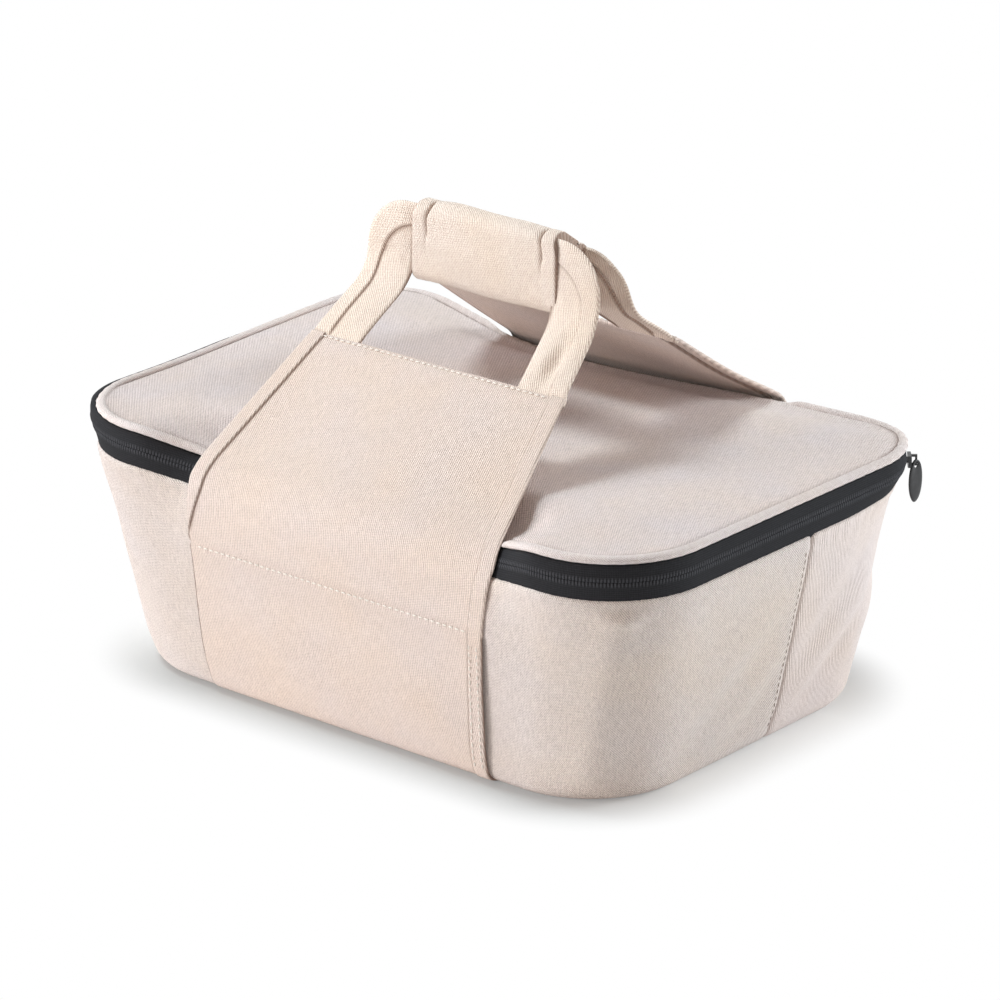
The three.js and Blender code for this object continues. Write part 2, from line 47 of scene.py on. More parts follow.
# Studio: a white floor that keeps the carrier's soft shadow, a high cool lamp on the left that throws
# the handles' shadow across the lid, a broad light from the front and a cool one from the right back.
# The camera stands where the photograph was taken from.
WHITE = (1, 1, 1, 1)
CAMERA_PLACE = (1.7123, -2.0268, 1.1007)
CAMERA_AIM = (0.00098, 0.00078, 0.10318)
CAMERA_LENS = 180.0
CAMERA_REACH = 50
LAMP_AIM = (0, 0, 0.12)
SKY_LEVEL = 0.38
SKY_COLOUR = (1, 0.89, 0.81, 1)
FLOOR_REACH = 9.0
FLOOR_CORE = (0.1225, 0.067, 0)
FLOOR_KEEPS = (0.057, 0.100)
FLOOR_WHITE = 0.24
FLOOR_BESIDE = (0.85, 0.85, 0.84, 1)
FLOOR_BEFORE = (0.41, 0.41, 0.402, 1)
FLOOR_BOUNCE = (0.94, 0.94, 0.94, 1)


class Wire:
    """One socket of a node tree. Sums, products and the like of wires add Math nodes."""

    def __init__(self, tree, socket=None):
        self.tree = tree
        self.socket = socket

    def add(self, kind, sockets=None, out=0, **settings):
        """A new node: its settings first, then the values or links of its sockets."""
        made = self.tree.nodes.new("ShaderNode" + kind)
        for name, value in settings.items():
            setattr(made, name, value)
        for name, value in (sockets or {}).items():
            if isinstance(value, Wire):
                self.tree.links.new(value.socket, made.inputs[name])
            else:
                made.inputs[name].default_value = value
        return Wire(self.tree, made.outputs[out] if made.outputs else None)

    def math(self, operation, *values):
        return self.add("Math", dict(enumerate(values)), operation=operation)

    def __add__(self, other):
        return self.math("ADD", self, other)

    def __sub__(self, other):
        return self.math("SUBTRACT", self, other)

    def __rsub__(self, other):
        return self.math("SUBTRACT", other, self)

    def __mul__(self, other):
        return self.math("MULTIPLY", self, other)

    __radd__ = __add__
    __rmul__ = __mul__

    def mix(self, first, second):
        """The colour first where this wire is 0 and second where it is 1."""
        return self.add("Mix", {0: self, 6: first, 7: second}, out=2, data_type="RGBA")


def node_tree(owner):
    """An emptied node tree of a material or world, as a bare wire to add nodes with."""
    owner.use_nodes = True
    owner.node_tree.nodes.clear()
    return Wire(owner.node_tree)


def new_material(name):
    """A new material and its emptied node tree."""
    material = bpy.data.materials.new(name)
    return material, node_tree(material)


def mesh_piece(name, points, faces, material):
    """An object made of these points and faces, shaded smooth."""
    mesh = bpy.data.meshes.new(name)
    mesh.from_pydata(points, [], faces)
    mesh.polygons.foreach_set("use_smooth", np.ones(len(mesh.polygons), bool))
    mesh.materials.append(material)
    piece = bpy.data.objects.new(name, mesh)
    scene.collection.objects.link(piece)
    return piece


def white_to_the_eye(tree):
    """1 for rays from the camera, a mirror or clear glass, which see the white backdrop."""
    eye, mirror, glass = [tree.add("LightPath", out="Is " + kind + " Ray")
                          for kind in ("Camera", "Glossy", "Transmission")]
    return tree.math("MAXIMUM", eye, tree.math("MAXIMUM", mirror, glass))


def make_world():
    """A backdrop that is white to the eye and a dimmer, warm sky as a light."""
    scene.world = bpy.data.worlds.new("studio")
    tree = node_tree(scene.world)
    eye = white_to_the_eye(tree)
    level = SKY_LEVEL + eye * (1 - SKY_LEVEL)
    sky = tree.add("Background", {"Color": eye.mix(SKY_COLOUR, WHITE), "Strength": level})
    tree.add("OutputWorld", {"Surface": sky})


def ramp(value, *ends):
    """A wire that goes smoothly from the third end to the fourth as value goes from the first to the
    second."""
    names = ("From Min", "From Max", "To Min", "To Max")
    sockets = {"Value": value, **dict(zip(names, ends))}
    return value.add("MapRange", sockets, interpolation_type="SMOOTHSTEP")


def make_floor():
    """A white floor: paint that takes the shadow under the carrier and fades into pure white with the
    distance from the rounded outline of its base. Before the long sides its paint is darker than beside
    the ends: a painted shadow where the front lamp would wash the real one out."""
    material, tree = new_material("white_floor")
    outside = tree.add("VectorMath", {0: tree.add("TexCoord", out="Object")}, operation="ABSOLUTE")
    outside = tree.add("VectorMath", {0: outside, 1: FLOOR_CORE}, operation="SUBTRACT")
    outside = tree.add("VectorMath", {0: outside, 1: (0, 0, 0)}, operation="MAXIMUM")
    far = tree.add("VectorMath", {0: outside}, out=1, operation="LENGTH")
    fade_out = ramp(far, *FLOOR_KEEPS, FLOOR_WHITE, 1)
    eye = white_to_the_eye(tree)
    before = tree.add("SeparateXYZ", {0: outside}, out=1)
    painted = tree.math("DIVIDE", before, far).mix(FLOOR_BESIDE, FLOOR_BEFORE)
    paint = tree.add("BsdfDiffuse", {"Color": eye.mix(FLOOR_BOUNCE, painted)})
    white = tree.add("Emission", {"Color": WHITE, "Strength": 1.0})
    shade = tree.add("MixShader", {0: fade_out * eye, 1: paint, 2: white})
    tree.add("OutputMaterial", {"Surface": shade})
    square = np.array([(-1, -1, 0), (1, -1, 0), (1, 1, 0), (-1, 1, 0)]) * FLOOR_REACH
    mesh_piece("floor", square, [(0, 1, 2, 3)], material)


def aimed(name, data, place, aim):
    """A lamp or camera at its place, turned to its aim."""
    thing = bpy.data.objects.new(name, data)
    thing.location = place
    thing.rotation_mode = "QUATERNION"
    thing.rotation_quaternion = (Vector(aim) - Vector(place)).to_track_quat("-Z", "Y")
    scene.collection.objects.link(thing)
    return thing


def make_lamp(name, place, aim, size, power, colour):
    """A round area lamp."""
    light = bpy.data.lights.new(name, "AREA")
    light.shape = "DISK"
    light.size = size
    light.energy = power
    light.color = colour
    aimed(name, light, place, aim)


scene.view_settings.view_transform = "Standard"
make_world()
make_floor()
make_lamp("high_left", (-0.80, -0.36, 1.75), LAMP_AIM, size=0.50, power=21.5, colour=(0.82, 0.95, 1.0))
make_lamp("front", (-1.50, -2.14, 0.60), LAMP_AIM, size=1.5, power=49.0, colour=(0.995, 0.985, 0.985))
make_lamp("right_back", (1.30, 1.52, 0.70), (0, 0, 0.1), size=1.0, power=34.0, colour=(0.87, 0.96, 1.0))
camera = bpy.data.cameras.new("camera")
camera.lens = CAMERA_LENS
camera.clip_end = CAMERA_REACH
scene.camera = aimed("camera", camera, CAMERA_PLACE, CAMERA_AIM)


# Base: a sewn canvas bottom under a stiff board, with a foam mat covered in wipe-clean lining on
# top of it. The canvas turns up round the foot into the walls.
WALL_TOP = 0.129
LID_EDGE = 0.150
BASE_HALF = (0.1825, 0.127)
MOUTH_HALF = (0.210, 0.144)
CORNER = 0.060
FOOT = 0.008
STITCH_HEIGHT = 0.092
FRONT_DRAWN = 0.0185
FRONT_DRAWN_SPAN = (0.104, 0.148)
DRAWN_DOWN = (0.0115, 0.0020)
DRAWN_REACH = (0.084, 0.132)
BACK_DRAWN = 0.0185
BACK_DENT_X = (-0.195, -0.147, -0.100, -0.060, -0.025, 0.010, 0.045, 0.090, 0.130, 0.165, 0.195)
BACK_DENT = (0, 0.0085, 0.0182, 0.0230, 0.0240, 0.0210, 0.0165, 0.0105, 0.0085, 0.0065, 0)
LEFT_END = (0.165, 0.200)
LEFT_BAND_OUT = 0.0065
LEFT_BAND_UP = 0.0022
LEFT_LID_IN = 0.0045
BACK_LEFT_LIFT = 0.0060
BACK_RIGHT_TUCK = 0.0085
TUCK_WAY = (0.77, 0.64)
MAT_INSET = 0.0070
MAT_LOW = 0.0046
MAT_TOP = 0.0108
WEAVE_PITCH = 0.0013
RIPSTOP_PITCH = 0.006
CANVAS_COLOUR = (0.850, 0.748, 0.697)
COOL_TINT = (0.985, 1.0, 1.03, 1)
WARM_TINT = (1.015, 1.0, 0.975, 1)
# Share of the cloth's colour that painted shade darkens the canvas to, channel by channel.
PAINTED_SHADE_SHARES = (0.30, 0.22, 0.18)
BOARD_COLOUR = (0.30, 0.26, 0.21)
LINING_COLOUR = (0.60, 0.61, 0.63)


def smooth(value, low, high):
    """0 below low, 1 above high, and 3t^2 - 2t^3 of the share t between them."""
    t = np.clip((value - low) / (high - low), 0, 1)
    return t * t * (3 - 2 * t)


def fade(value, low, high):
    """1 below low and 0 above high."""
    return 1 - smooth(value, low, high)


def stacked(*columns):
    """Points or pairs from columns that are spread to one shape."""
    return np.stack(np.broadcast_arrays(*columns), -1)


def hump(value, centre, width):
    """A bell curve: 1 at the centre and e^-1 one width away."""
    return np.exp(-(((value - centre) / width) ** 2))


def run(rows, counts):
    """Stations along the box's outline, each a corner centre as shares of the half sizes and the way
    it faces in degrees, spaced evenly on every leg between the given rows."""
    legs = [np.linspace(a, b, n, endpoint=False) for a, b, n in zip(rows, rows[1:], counts)]
    return np.concatenate(legs + [np.array(rows[-1:], float)])


def back_dent(x):
    """How far the lid's back edge is drawn in at x: a measured profile, rounded over 24 mm."""
    near = np.linspace(-0.012, 0.012, 5)
    return np.mean([np.interp(x + step, BACK_DENT_X, BACK_DENT) for step in near], axis=0)


def drawn_in(x, y, z):
    """The long sides pulled in and down under the handle panels: nothing at the stitch row, most at
    the lid's edge, full across the panel and faded out beside it. At the left end the zip band swells
    out from under the lid, and the lid's back left corner stands a little higher. At the back right
    corner the wall is tucked in under the zip."""
    rise = np.clip((z - STITCH_HEIGHT) / (LID_EDGE - STITCH_HEIGHT), 0, 1)
    front = y < 0
    inwards = np.where(front, FRONT_DRAWN * fade(np.abs(x), *FRONT_DRAWN_SPAN), back_dent(x))
    inwards = inwards * smooth(np.abs(y), *DRAWN_REACH)
    down = inwards * np.where(front, DRAWN_DOWN[0] / FRONT_DRAWN, DRAWN_DOWN[1] / BACK_DRAWN)
    left = smooth(-x, *LEFT_END)
    swell = left * fade(y, -0.01, 0.11)
    lift = BACK_LEFT_LIFT * smooth(-x, 0.08, 0.20) * smooth(y, -0.06, 0.13) * rise
    lift = lift + LEFT_BAND_UP * swell * hump(z, 0.1475, 0.0035) * (z < LID_EDGE)
    tuck = BACK_RIGHT_TUCK * smooth(x, 0.150, 0.190) * smooth(y, 0.045, 0.105)
    tuck = tuck * smooth(z, 0.050, 0.102) * fade(z, 0.118, 0.144)
    moved_x = x + left * LEFT_LID_IN * smooth(z, 0.1485, 0.1495)
    moved_x = moved_x - swell * LEFT_BAND_OUT * hump(z, 0.1450, 0.010) - TUCK_WAY[0] * tuck
    moved_y = y - np.sign(y) * inwards * rise**1.66 - TUCK_WAY[1] * tuck
    return stacked(moved_x, moved_y, z - down * rise**2 + lift)


def half_sizes(z):
    """Half the box's length and width at height z, which flare evenly from the base to the mouth."""
    flare = np.clip(z / WALL_TOP, 0, 1)
    return [b + (m - b) * flare for b, m in zip(BASE_HALF, MOUTH_HALF)]


def outline(station, z, inset):
    """x and y set in from the box's outside: the corner's centre carried out with the flare of the
    walls, plus the corner's radius less the inset along the way the station faces."""
    turn = np.radians(station[..., 2])
    half_x, half_y = half_sizes(z)
    x = station[..., 0] * (half_x - CORNER) + (CORNER - inset) * np.cos(turn)
    y = station[..., 1] * (half_y - CORNER) + (CORNER - inset) * np.sin(turn)
    return x, y


def box_face(station, z, inset):
    """Points on the outline at height z, drawn in as the sewn carrier is."""
    x, y = outline(station, z, inset)
    return drawn_in(x, y, z + 0 * x)


def lengths(points, axis):
    """Distance along the grid's lines of one axis, from their first point."""
    step = np.linalg.norm(np.diff(points, axis=axis), axis=-1)
    start = np.zeros_like(np.take(step, [0], axis))
    return np.concatenate([start, np.cumsum(step, axis)], axis)


def grid_faces(rows, columns, closed):
    """Quads between neighbouring rows and columns of a grid; closed joins its last column to its
    first."""
    r = np.arange(rows - 1)[:, None] * columns
    c = np.arange(columns if closed else columns - 1)
    n = (c + 1) % columns
    return stacked(r + c, r + n, r + columns + n, r + columns + c).reshape(-1, 4)


def cloth(name, grids, material, thickness=0.0, caps=()):
    """One piece from grids of (points, cloth coordinates, closed, painted shade if any); the painted
    shade is kept as the mesh's shade attribute. Cloth coordinates are metres on the flat cut, kept as the
    piece's own map; on a closed grid they may have one column more, where the cut ends. caps names rows
    of the last grid filled with one face."""
    points, maps, faces, shades = [], [], [], []
    for place, flat, closed, *shade in grids:
        rows, columns = place.shape[:2]
        if closed and flat.shape[1] == columns:
            flat = np.concatenate([flat, flat[:, :1]], 1)
        faces += (grid_faces(rows, columns, closed) + sum(map(len, points))).tolist()
        maps.append(flat.reshape(-1, 2)[grid_faces(rows, flat.shape[1], False)].reshape(-1, 2))
        points.append(place.reshape(-1, 3))
        shades.append(np.ravel(np.broadcast_to(shade[0] if shade else 0.0, (rows, columns))))
    for row in caps:
        turn = slice(None, None, 1 if row else -1)
        faces.append(((row % rows) * columns + np.arange(columns))[turn].tolist())
        maps.append(flat[row, :columns][turn])
    piece = mesh_piece(name, np.concatenate(points), faces, material)
    cut = piece.data.uv_layers.new(name="cloth")
    cut.data.foreach_set("uv", np.concatenate(maps).astype(np.float32).ravel())
    painted_shade_layer = piece.data.attributes.new("shade", "FLOAT", "POINT")
    painted_shade_layer.data.foreach_set("value", np.concatenate(shades).astype(np.float32))
    if thickness:
        wall = piece.modifiers.new("thickness", "SOLIDIFY")
        wall.thickness = thickness
        wall.offset = -1
    return piece


def on_sheet(points, closed=False):
    """Cloth coordinates of a grid from the lengths along its middle row and its columns."""
    if closed:
        points = np.concatenate([points, points[:, :1]], 1)
    return stacked(lengths(points, 1)[len(points) // 2][None, :], lengths(points, 0))


def shader(tree, **sockets):
    """A finished surface: the principled shader with these sockets, to the material's output."""
    surface = tree.add("BsdfPrincipled", {k.replace("_", " "): v for k, v in sockets.items()})
    tree.add("OutputMaterial", {"Surface": surface})


def toned(colour, *shares):
    """A colour times one share for all channels or a share for each, as sockets take it."""
    return tuple(np.multiply(colour, shares)) + (1,)


def noise(place, scale, detail):
    """Fine noise over a wire of places."""
    return place.add("TexNoise", {"Vector": place, "Scale": scale, "Detail": detail})


def bumps(height, strength, distance):
    """The normals of a surface raised by a wire of heights."""
    return height.add("Bump", {"Height": height, "Strength": strength, "Distance": distance})


def cut_wires(tree):
    """The cloth coordinates of a piece, as a pair and as the ways along the cut and up it."""
    flat = tree.add("UVMap", uv_map="cloth")
    return [flat] + [tree.add("SeparateXYZ", {0: flat}, out=k) for k in (0, 1)]


def canvas(name, colour, lean, deep=(0.71, 0.675, 0.655)):
    """Twill canvas: steep lines of thread across the cut, broken by the weft, with uneven yarn, pale
    slubs and slow drifts of tint; the lines stand up a little. deep is the colour between the threads
    as shares of the cloth's. Painted shade, kept on the mesh as its shade attribute, darkens the colour
    at seams, turned edges, grooves and creases."""
    material, tree = new_material(name)
    flat, u, v = cut_wires(tree)
    turn = 2 * np.pi / WEAVE_PITCH
    line = tree.math("SINE", u * turn + v * (turn * lean))
    weft = tree.math("SINE", v * (turn * 1.37) - u * (turn * 0.31))
    warp_yarn = tree.add("Mapping", {"Vector": flat, "Scale": (950, 160, 1)})
    slub = noise(warp_yarn, 1.0, 1.0)
    grain = noise(flat, 1150.0, 1.0)
    drift = noise(flat, 17.0, 2.0)
    shade = tree.add("Attribute", out=2, attribute_name="shade")
    weave = line * 0.5 + weft * 0.25 + 0.5
    yarn = slub * 0.4 + grain * 0.6
    tone = weave * 0.75 + yarn * 1.7 - 0.62
    light = tuple(min(c * 1.15, 0.97) for c in colour) + (1,)
    tint = tree.math("MINIMUM", drift * 3 - 1, 1.0).mix(COOL_TINT, WARM_TINT)
    tinted = tree.add("Mix", {0: 1.0, 6: tone.mix(toned(colour, *deep), light), 7: tint}, out=2,
                      data_type="RGBA", blend_type="MULTIPLY")
    # Painted shade: where the mesh's shade attribute is up, the colour darkens towards a share of the
    # cloth's.
    painted_shade_colour = shade.mix(tinted, toned(colour, *PAINTED_SHADE_SHARES))
    raised = bumps(weave + yarn * 0.8, 0.8, 0.0004)
    shader(tree, Base_Color=painted_shade_colour, Roughness=0.95 - weave * 0.08, Normal=raised, Sheen_Weight=0.12,
           Sheen_Roughness=0.5, Specular_IOR_Level=0.2)
    return material


def foil_lining(name, colour):
    """Wipe-clean lining: coated cloth, a little shiny, with a fine grid of ripstop threads and the
    faint crinkle of the coating."""
    material, tree = new_material(name)
    flat, u, v = cut_wires(tree)
    turn = 2 * np.pi / RIPSTOP_PITCH
    cross = tree.math("MAXIMUM", tree.math("SINE", u * turn), tree.math("SINE", v * turn))
    crinkle = noise(flat, 90.0, 3.0)
    grid = tree.math("POWER", cross * 0.5 + 0.5, 8.0)
    tone = (crinkle + grid * 0.4).mix(toned(colour, 0.88), toned(colour, 1))
    raised = bumps(crinkle + grid * 0.3, 0.5, 0.0006)
    shader(tree, Base_Color=tone, Roughness=0.36 + crinkle * 0.2, Metallic=0.25, Normal=raised)
    return material


wall_canvas = canvas("wall_canvas", CANVAS_COLOUR, 0.9, deep=(0.56, 0.52, 0.51))
lining = foil_lining("lining", LINING_COLOUR)
RING = ((1, -1, 0), (1, 1, 0), (1, 1, 90), (-1, 1, 90), (-1, 1, 180), (-1, -1, 180), (-1, -1, 270),
        (1, -1, 270), (1, -1, 360))
ring = run(RING, (30, 18, 60, 18, 30, 18, 60, 18))[:-1]


def disc(inset, shares, height):
    """A flat or crowned sheet: the ring at the inset drawn towards the middle by each share, lifted
    to height(share)."""
    edge = box_face(ring, 0.001, inset)
    keep = (1 - shares)[:, None]
    return stacked(edge[:, 0] * keep, edge[:, 1] * keep, height(shares)[:, None])


base_shares = np.r_[0:0.08:5j, 0.1:0.97:30j]
bottom = disc(FOOT - 0.003, base_shares, lambda t: 0.0008 - 0.0007 * smooth(t, 0.0, 0.04))[::-1]
base_canvas = cloth("base_canvas", [(bottom, bottom[..., :2], True)], wall_canvas, caps=(0,))
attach(base_canvas, "body")
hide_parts("base_panel")

mat_shares = np.r_[0:0.05:6j, 0.07:0.97:34j]
mat_top = disc(MAT_INSET, mat_shares, lambda t: MAT_TOP - 0.0028 * fade(t, 0, 0.03))
mat = np.r_[mat_top[:1] * (1, 1, 0) + (0, 0, MAT_LOW), mat_top]
floor_mat = cloth("floor_mat", [(mat, mat[..., :2], True)], lining, caps=(-1, 0))
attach(floor_mat, "body")
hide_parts("base_foam", "base_lining")


def speckled(name, dark, light, scale, detail, rough, bump=None, **sockets):
    """A plain finish: dark mottled with light by fine noise, which also adds up to the second number
    of rough to the first, and raises the surface by bump, a strength and a height."""
    material, tree = new_material(name)
    place = tree.add("TexCoord", out="Object")
    fleck = noise(place, scale, detail)
    if bump:
        sockets["Normal"] = bumps(fleck, *bump)
    shader(tree, Base_Color=fleck.mix(dark, light), Roughness=rough[0] + fleck * rough[1], **sockets)
    return material


def coat(node, material):
    """Gives a solid that shows as it is its material."""
    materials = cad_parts[node].data.materials
    materials.clear()
    materials.append(material)


coat("base_board", speckled("fibre_board", toned(BOARD_COLOUR, 0.7), toned(BOARD_COLOUR, 1.2), 400.0, 4.0,
                            rough=(0.8, 0.15), bump=(0.2, 0.0003)))


# Walls: two halves of foam-backed canvas, joined by an upright seam on each end, that flare up to
# the zip. The cloth sags a little between the corners, creases on the ends and puckers at the zip.
WALL_PAD = 0.0062
SEAM_SHARE = 0.20
BULGE = 0.0022
CORNER_RIDGE = 0.0026
WAVES = 0.0005
CREASE = 0.0017
GATHER_PITCH = 0.0105
STITCH_LENGTH = 0.0029
STITCH_GAP = 0.0014
STITCH_SUNK = 0.5
BACK_LIT_COLOUR = (0.845, 0.742, 0.705)
HOLE_SHADE_COLOUR = (0.47, 0.38, 0.34)


def wall_relief(station, z, inset=0.0):
    """How far the wall's canvas stands out: a low belly between corners, slow waves in the cloth,
    slanting creases on the ends, and at the front right corner a soft ridge with a pucker under the
    zip. Towards the stitch row the panels hold it flat."""
    plain = box_face(station, z, inset)
    x, y = plain[..., 0], plain[..., 1]
    up = np.clip(z / WALL_TOP, 0, 1)
    flat_x = smooth(0.150 - np.abs(x), -0.01, 0.09)
    flat_y = smooth(0.084 - np.abs(y), -0.01, 0.07)
    belly = BULGE * np.sin(np.pi * up**0.85) * np.maximum(flat_x, flat_y)
    waves = np.sin(31 * x + 17 * z) + np.sin(43 * y - 29 * z + 1.3) + np.sin(71 * x - 57 * y + 61 * z)
    on_end = smooth(np.abs(x), 0.165, 0.185)
    slant = z - 0.85 * np.sign(x) * y
    creases = CREASE * np.sin(2 * np.pi * slant / 0.047 + 0.4) * hump(slant, 0.03, 0.06)
    creases = creases * hump(up, 0.42, 0.38) * (1 - 0.85 * hump(y, 0.016, 0.016))
    fold = 0.0015 * hump(slant, -0.012, 0.007) * hump(y, 0.080, 0.036)
    centre_x, centre_y = [half - CORNER for half in half_sizes(z)]
    corner = np.degrees(np.arctan2(y + centre_y, x - centre_x))
    ridge = CORNER_RIDGE * hump(corner, -54 + 8 * up, 11)
    at_corner = hump(corner, -43, 7) * smooth(x, 0.16, 0.18) * smooth(-y, 0.09, 0.11)
    pucker = at_corner * (0.0022 * hump(z, 0.1165, 0.004) - 0.0020 * hump(z, 0.1225, 0.003))
    settled = smooth(z, 0.004, 0.02) * fade(z, 0.118, 0.127)
    held = 0.9 * fade(np.abs(x), 0.104, 0.122) * smooth(np.abs(y), 0.09, 0.11) * smooth(z, 0.045, 0.085)
    loose = (belly + WAVES * waves * settled) * (1 - held)
    return loose + (on_end * (creases - fold) + ridge) * settled + pucker


def foot_profile(top, step, radius):
    """Heights and insets up a wall: a quarter round at the foot, then straight to the top."""
    turn = np.linspace(0, np.pi / 2, 7)
    straight = np.linspace(radius, top, int((top - radius) / step) + 1)[1:]
    z = np.r_[radius * (1 - np.cos(turn)), straight]
    return z, np.r_[radius * (1 - np.sin(turn)), 0 * straight]


def wall_half(name, rows, nodes, material):
    """One half of the wall: the run of stations carried up the foot's profile, set out by the relief,
    drawn in at the end seams, gathered towards the zip and rolled in at the top."""
    station = run(rows, (24, 30, 110, 30, 24))
    z, inset = [column[:, None] for column in foot_profile(WALL_TOP, 0.0022, FOOT)]
    plain = box_face(station, z, inset)
    along = lengths(plain, 1)
    from_seam = np.minimum(along, along[:, -1:] - along)
    seam = -0.0012 * fade(from_seam, 0, 0.004)
    gathers = 0.00035 * np.sin(along * 2 * np.pi / GATHER_PITCH) * smooth(z, 0.108, 0.126)
    rolled = -0.0010 * smooth(z, 0.1265, WALL_TOP)
    relief = wall_relief(station, z, inset)
    shaped = box_face(station, z, inset - relief - seam - gathers - rolled)
    half = cloth(name, [(shaped, on_sheet(plain), False)], material, thickness=WALL_PAD)
    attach(half, "body")
    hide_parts(*nodes)


FRONT_RUN = ((-1, SEAM_SHARE, 180), (-1, -1, 180), (-1, -1, 270), (1, -1, 270), (1, -1, 360),
             (1, SEAM_SHARE, 360))
BACK_RUN = ((1, SEAM_SHARE, 0), (1, 1, 0), (1, 1, 90), (-1, 1, 90), (-1, 1, 180), (-1, SEAM_SHARE, 180))
# The wall's two halves are lit and shaded copies of one cloth. The back half is lighter, with a lighter
# colour between the threads: painted light for the brighter back of the ends. The front half's deeper
# colour between the threads is partly its weave, partly painted shade.
lit_back_canvas = canvas("lit_back_canvas", BACK_LIT_COLOUR, 0.25)
wall_half("front_wall_canvas", FRONT_RUN, ("front_wall", "front_wall_foam"), wall_canvas)
wall_half("back_wall_canvas", BACK_RUN, ("back_wall", "back_wall_foam"), lit_back_canvas)


def unit(vectors):
    """Vectors brought to length one."""
    return vectors / np.linalg.norm(vectors, axis=-1, keepdims=True)


def picked(at, along, data):
    """Rows of data, which belong to the distances along, read off at other distances."""
    return np.stack([np.interp(at, along, column) for column in data.T], -1)


def stitches(name, lines, material, thick=0.00048):
    """Rows of sewn stitches: each line of (points, normals) is walked at an even pace, and every
    stitch is a small spindle of six sides and five rings, half sunk in the cloth."""
    rings = np.linspace(-1, 1, 5)[:, None, None]
    girth = np.sqrt(np.maximum(1 - rings**2, 0.04))
    turn = np.arange(6)[:, None] * np.pi / 3
    half = STITCH_LENGTH / 2
    spindles = []
    for points, normals in lines:
        along = lengths(points[None], 1)[0]
        at = np.arange(STITCH_GAP, along[-1] - half, STITCH_LENGTH + STITCH_GAP)
        way = unit(picked(at + half, along, points) - picked(at - half, along, points))
        side = unit(np.cross(way, picked(at, along, normals)))
        out = np.cross(side, way)
        core = picked(at, along, points) + out * thick * STITCH_SUNK
        core, way, side, out = [vector[:, None, None] for vector in (core, way, side, out)]
        rim = out * (np.sin(turn) * thick) + side * (np.cos(turn) * thick)
        spindles.append(core + way * (rings * half) + rim * girth)
    spindles = np.concatenate(spindles)
    starts = np.arange(len(spindles))[:, None] * 30
    sides = (starts[..., None] + grid_faces(5, 6, True)).reshape(-1, 4)
    ends = [starts + np.arange(6)[::-1], starts + np.arange(24, 30)]
    faces = sides.tolist() + np.concatenate(ends).tolist()
    return mesh_piece(name, spindles.reshape(-1, 3), faces, material)


def thread(name, colour):
    """Sewing thread: twisted plies, darker between them."""
    return speckled(name, toned(colour, 0.8), toned(colour, 1), 1500.0, 2.0, (0.6, 0.2), (0.3, 0.0002))


def seam_line(side):
    """An upright line just in front of an end seam, and its outward normals."""
    z = np.linspace(0.012, WALL_TOP - 0.006, 60)
    station = np.tile((side, SEAM_SHARE - 0.05, 0 if side > 0 else 180), (60, 1))
    return box_face(station, z, -wall_relief(station, z)), np.tile((side, 0.0, 0.0), (60, 1))


# The end seams' stitches are real stitches in a dark colour: painted shade for the needle holes they sit
# in.
hole_shade_thread = thread("hole_shade_thread", HOLE_SHADE_COLOUR)
wall_stitches = stitches("wall_stitches", [seam_line(1), seam_line(-1)], hole_shade_thread, thick=0.00026)
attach(wall_stitches, "body")


# Inside: a wipe-clean lining round the walls, and a black tape bound over the seam where lining,
# wall and zip are sewn together at the rim.
LINING_INSET = 0.0074
LINING_FOOT = 0.0070
LINING_THICK = 0.0005
SAG_PITCH = 0.085
TAPE_COLOUR = (0.017, 0.017, 0.019)
lining_z = np.linspace(LINING_FOOT, WALL_TOP - 0.0005, 40)[:, None]
lining_plain = box_face(ring, lining_z, LINING_INSET)
lining_along = lengths(lining_plain, 1)
lining_sag = 0.0008 * np.sin(lining_along * 2 * np.pi / SAG_PITCH) * np.sin(np.pi * (lining_z / WALL_TOP))
lining_dent = np.minimum(wall_relief(ring, lining_z, LINING_INSET), 0)
lining_in = box_face(ring, lining_z, LINING_INSET + np.abs(lining_sag) - 1.15 * lining_dent)
lining_grid = (lining_in[:, ::-1], on_sheet(lining_plain[:, ::-1], True), True)
lining_wall = cloth("wall_lining_cloth", [lining_grid], lining, thickness=LINING_THICK)
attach(lining_wall, "body")
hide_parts("wall_lining")


def carried(station, section):
    """A section of insets and heights carried along a run of stations: rows follow the section."""
    inset, z = np.array(section, float).T[..., None]
    return box_face(station, z, inset)


def woven_tape(name, colour, ribs):
    """Woven tape: fine ribs across it, a lighter fleck on each rib, and a rougher band where the
    coil's stitches show near the zip's middle (ribs is how far down the tape that band reaches)."""
    material, tree = new_material(name)
    flat, u, v = cut_wires(tree)
    fine, long_rib, coil_rib = [tree.math("SINE", way * (2 * np.pi / pitch))
                                for way, pitch in ((u, 0.0009), (v, 0.0012), (u, 0.0019))]
    band = ramp(v, 0.0, ribs, 1.0, 0.0)
    fleck = noise(flat, 700.0, 2.0)
    height = fine * 0.25 + long_rib * 0.2 + band * coil_rib * 0.9 + fleck * 0.8
    ticks = band * (coil_rib * 0.5 + 0.5) * fleck
    tone = (height * 0.40 + ticks * 2.6 + 0.12).mix(toned(colour, 0.6), toned(colour, 3.4))
    raised = bumps(height, 0.7, 0.0003)
    shader(tree, Base_Color=tone, Roughness=0.78 + fleck * 0.15, Normal=raised, Specular_IOR_Level=0.12)
    return material


plain_tape = woven_tape("plain_tape", TAPE_COLOUR, 0.00001)
zip_tape = woven_tape("zip_tape", TAPE_COLOUR, 0.0035)
BINDING = ((0.0030, 0.0002), (0.0036, 0.0014), (0.0062, 0.0018), (0.0086, 0.0014), (0.0093, 0),
           (0.0094, -0.004), (0.0093, -0.008))
binding_points = carried(ring, np.add(BINDING, (0, WALL_TOP)))
binding_grid = (binding_points, on_sheet(binding_points, True), True)
binding = cloth("rim_binding_tape", [binding_grid], plain_tape, thickness=0.0006)
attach(binding, "body")
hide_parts("rim_binding")


